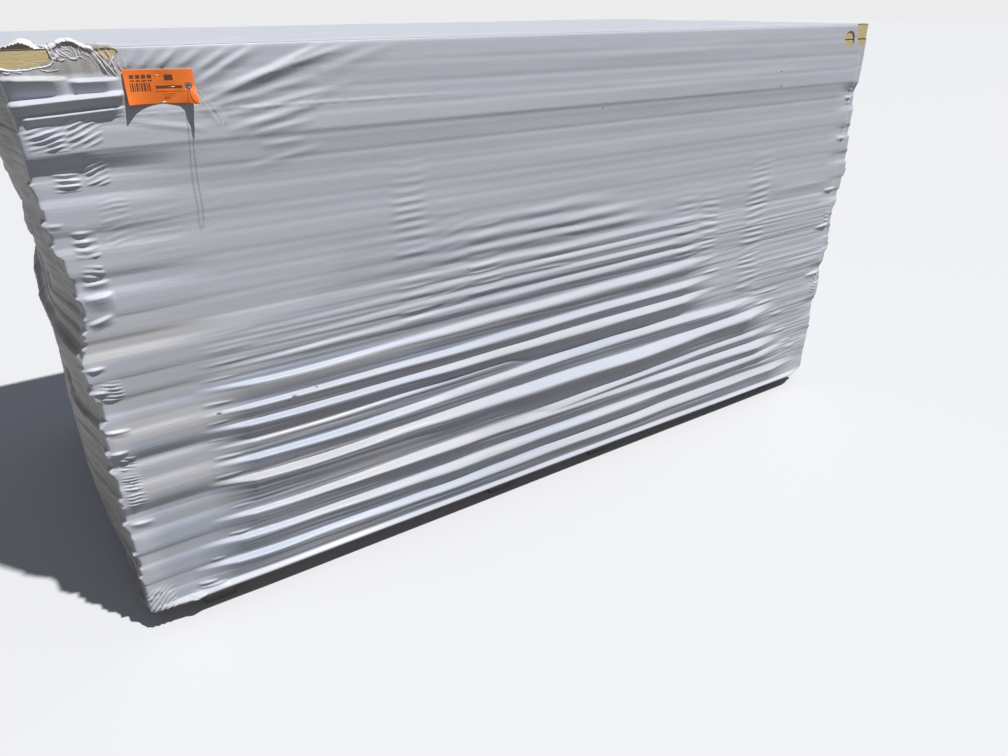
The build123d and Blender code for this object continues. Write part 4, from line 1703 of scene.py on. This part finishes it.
# %% Print
def print_patch(along, up, width, height):
    """A small grid that lies on the card."""
    steps = max(2, int(width / 1.2) + 1)
    grid_along, grid_up = np.meshgrid(
        np.linspace(along, along + width, steps), np.linspace(up, up + height, 5)
    )
    return on_tag(grid_along, grid_up, off=0.1)


patches = []
bar_widths = (1.6, 2.6, 1.2, 3.4, 1.2, 2.2, 3.4, 1.6, 2.6)
bar_along = -52.0
bar_gap = 1.9
for width in bar_widths:
    patches.append(print_patch(bar_along, 22.5, width, 14.5))
    bar_along += width + bar_gap
for i in range(4):
    block_along = -50.5 + 10.2 * i
    patches.append(print_patch(block_along, 39.5, 7.4, 2.4))
    patches.append(print_patch(block_along, 44.5, 7.4, 6.4))
# Blocks and lines: along, up, width, height
for patch in (
    (9.0, 40.5, 15.0, 10.0), (-8.0, 26.5, 46.0, 5.0), (-10.0, 21.0, 54.0, 0.9),
    (2.0, 16.5, 24.0, 0.7), (6.0, 13.0, 16.0, 0.7), (4.0, 9.0, 10.0, 1.8),
):
    patches.append(print_patch(*patch))
tag_print = joined_sheets("tag_print", patches)

ink = Finish("print_ink")
ink_wear = ink.noise(ink.places(), 240.0, detail=3.0)
ink_colour = ink.mix(ink_wear, (0.10, 0.030, 0.012), (0.22, 0.055, 0.018))
tag_print.data.materials.append(ink.surface(Base_Color=ink_colour, Roughness=0.6))
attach(tag_print, "root")
print(len(patches), "printed patches")

# %% [markdown]
# ## Staples, washer and string
#
# Each staple shows as a short bright wire, pressed into the card with its ends turned in. The washer
# keeps its CAD solid. The string is a doubled loop of thin twine through the washer. It could be let
# fall by a simulation, but it has to lie where the photograph shows it, so it is one smooth curve
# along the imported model's own route.

# %% Staples
wire_radius = 0.35
staple_half = 6.0
staple_curve = bpy.data.curves.new("tag_staples", "CURVE")
staple_curve.dimensions = "3D"
staple_curve.bevel_depth = wire_radius * MM
staple_curve.bevel_resolution = 3
# Half of the wire: along from its middle, and how far off the card
half_wire = ((5.4, 0.5), (staple_half, 0.1), (staple_half, -1.6))
wire_line = [(-reach, off) for reach, off in half_wire[::-1]] + [(0, 0.4), *half_wire]
for along, up, turn in staples:
    way = (math.cos(math.radians(turn)), math.sin(math.radians(turn)))
    line = []
    for reach, off in wire_line:
        line.append(on_tag(along + reach * way[0], up + reach * way[1], off=off) * MM)
    spline = staple_curve.splines.new("POLY")
    spline.points.add(len(line) - 1)
    for point, place in zip(spline.points, line):
        point.co = (*place, 1.0)
tag_staples = placed("tag_staples", staple_curve)

steel = Finish("staple_steel")
steel_colour = steel.mix(steel.noise(steel.places(), 300.0), (0.50, 0.48, 0.45), (0.66, 0.65, 0.63))
staple_curve.materials.append(steel.surface(Base_Color=steel_colour, Metallic=1.0, Roughness=0.32))
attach(tag_staples, "root")
print(len(staples), "staples")

# %% Washer
washer = Finish("eyelet_washer")
worn = washer.noise(washer.places(), 220.0, detail=3.0)
washer_material = washer.surface(
    Base_Color=washer.mix(worn, (0.20, 0.14, 0.17), (0.36, 0.27, 0.30)),
    Roughness=0.6,
    Normal=washer.bump(worn, 0.0003, 0.4),
)
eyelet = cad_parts["tag_eyelet"]
eyelet.data.materials.clear()
eyelet.data.materials.append(washer_material)
print("washer", (eyelet_high - eyelet_low).round(1))

# %% String
string_diameter = 1.0
# The route, from the washer's middle: out of its hole, down, round the loop's end and back
string_points = [
    (0.9, 0.2, -1.5), (1.9, -8.8, -0.6), (5.5, -19.6, -1.5), (11.9, -31.5, -7.4), (18.9, -43.4, -17.7),
    (25.9, -54.8, -30.6), (31.6, -64.3, -43.6), (34.9, -71.1, -53.6), (36.4, -74.5, -58.3),
    (35.5, -77.3, -62.1), (31.3, -78.3, -63.4), (27.6, -76.2, -60.6), (26.1, -72.1, -55.9),
    (22.4, -65.3, -45.9), (17.1, -55.8, -32.9), (11.1, -44.2, -19.9), (5.1, -32.1, -9.6),
    (0.5, -20.0, -3.2), (-1.1, -8.8, -1.4), (-0.9, 0.2, -1.5),
]
string_curve = bpy.data.curves.new("tag_string", "CURVE")
string_curve.dimensions = "3D"
string_curve.bevel_depth = string_diameter / 2 * MM
string_curve.bevel_resolution = 4
string_curve.resolution_u = 16
string_spline = string_curve.splines.new("NURBS")
string_spline.points.add(len(string_points) - 1)
for point, offset in zip(string_spline.points, string_points):
    place = (Vector(eyelet_centre) + Vector(offset)) * MM
    point.co = (*place, 1.0)
string_spline.order_u = 3
string_spline.use_endpoint_u = True
string_piece = placed("tag_string_loop", string_curve)

twine = Finish("string")
fuzz = twine.noise(twine.places(), 1500.0)
string_curve.materials.append(twine.surface(
    Base_Color=twine.mix(fuzz, (0.52, 0.50, 0.47), (0.74, 0.72, 0.68)), Roughness=0.8,
    Normal=twine.bump(fuzz, 0.0002, 0.6),
))
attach(string_piece, "root")
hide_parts("tag_string")
print("string", len(string_points), "points")
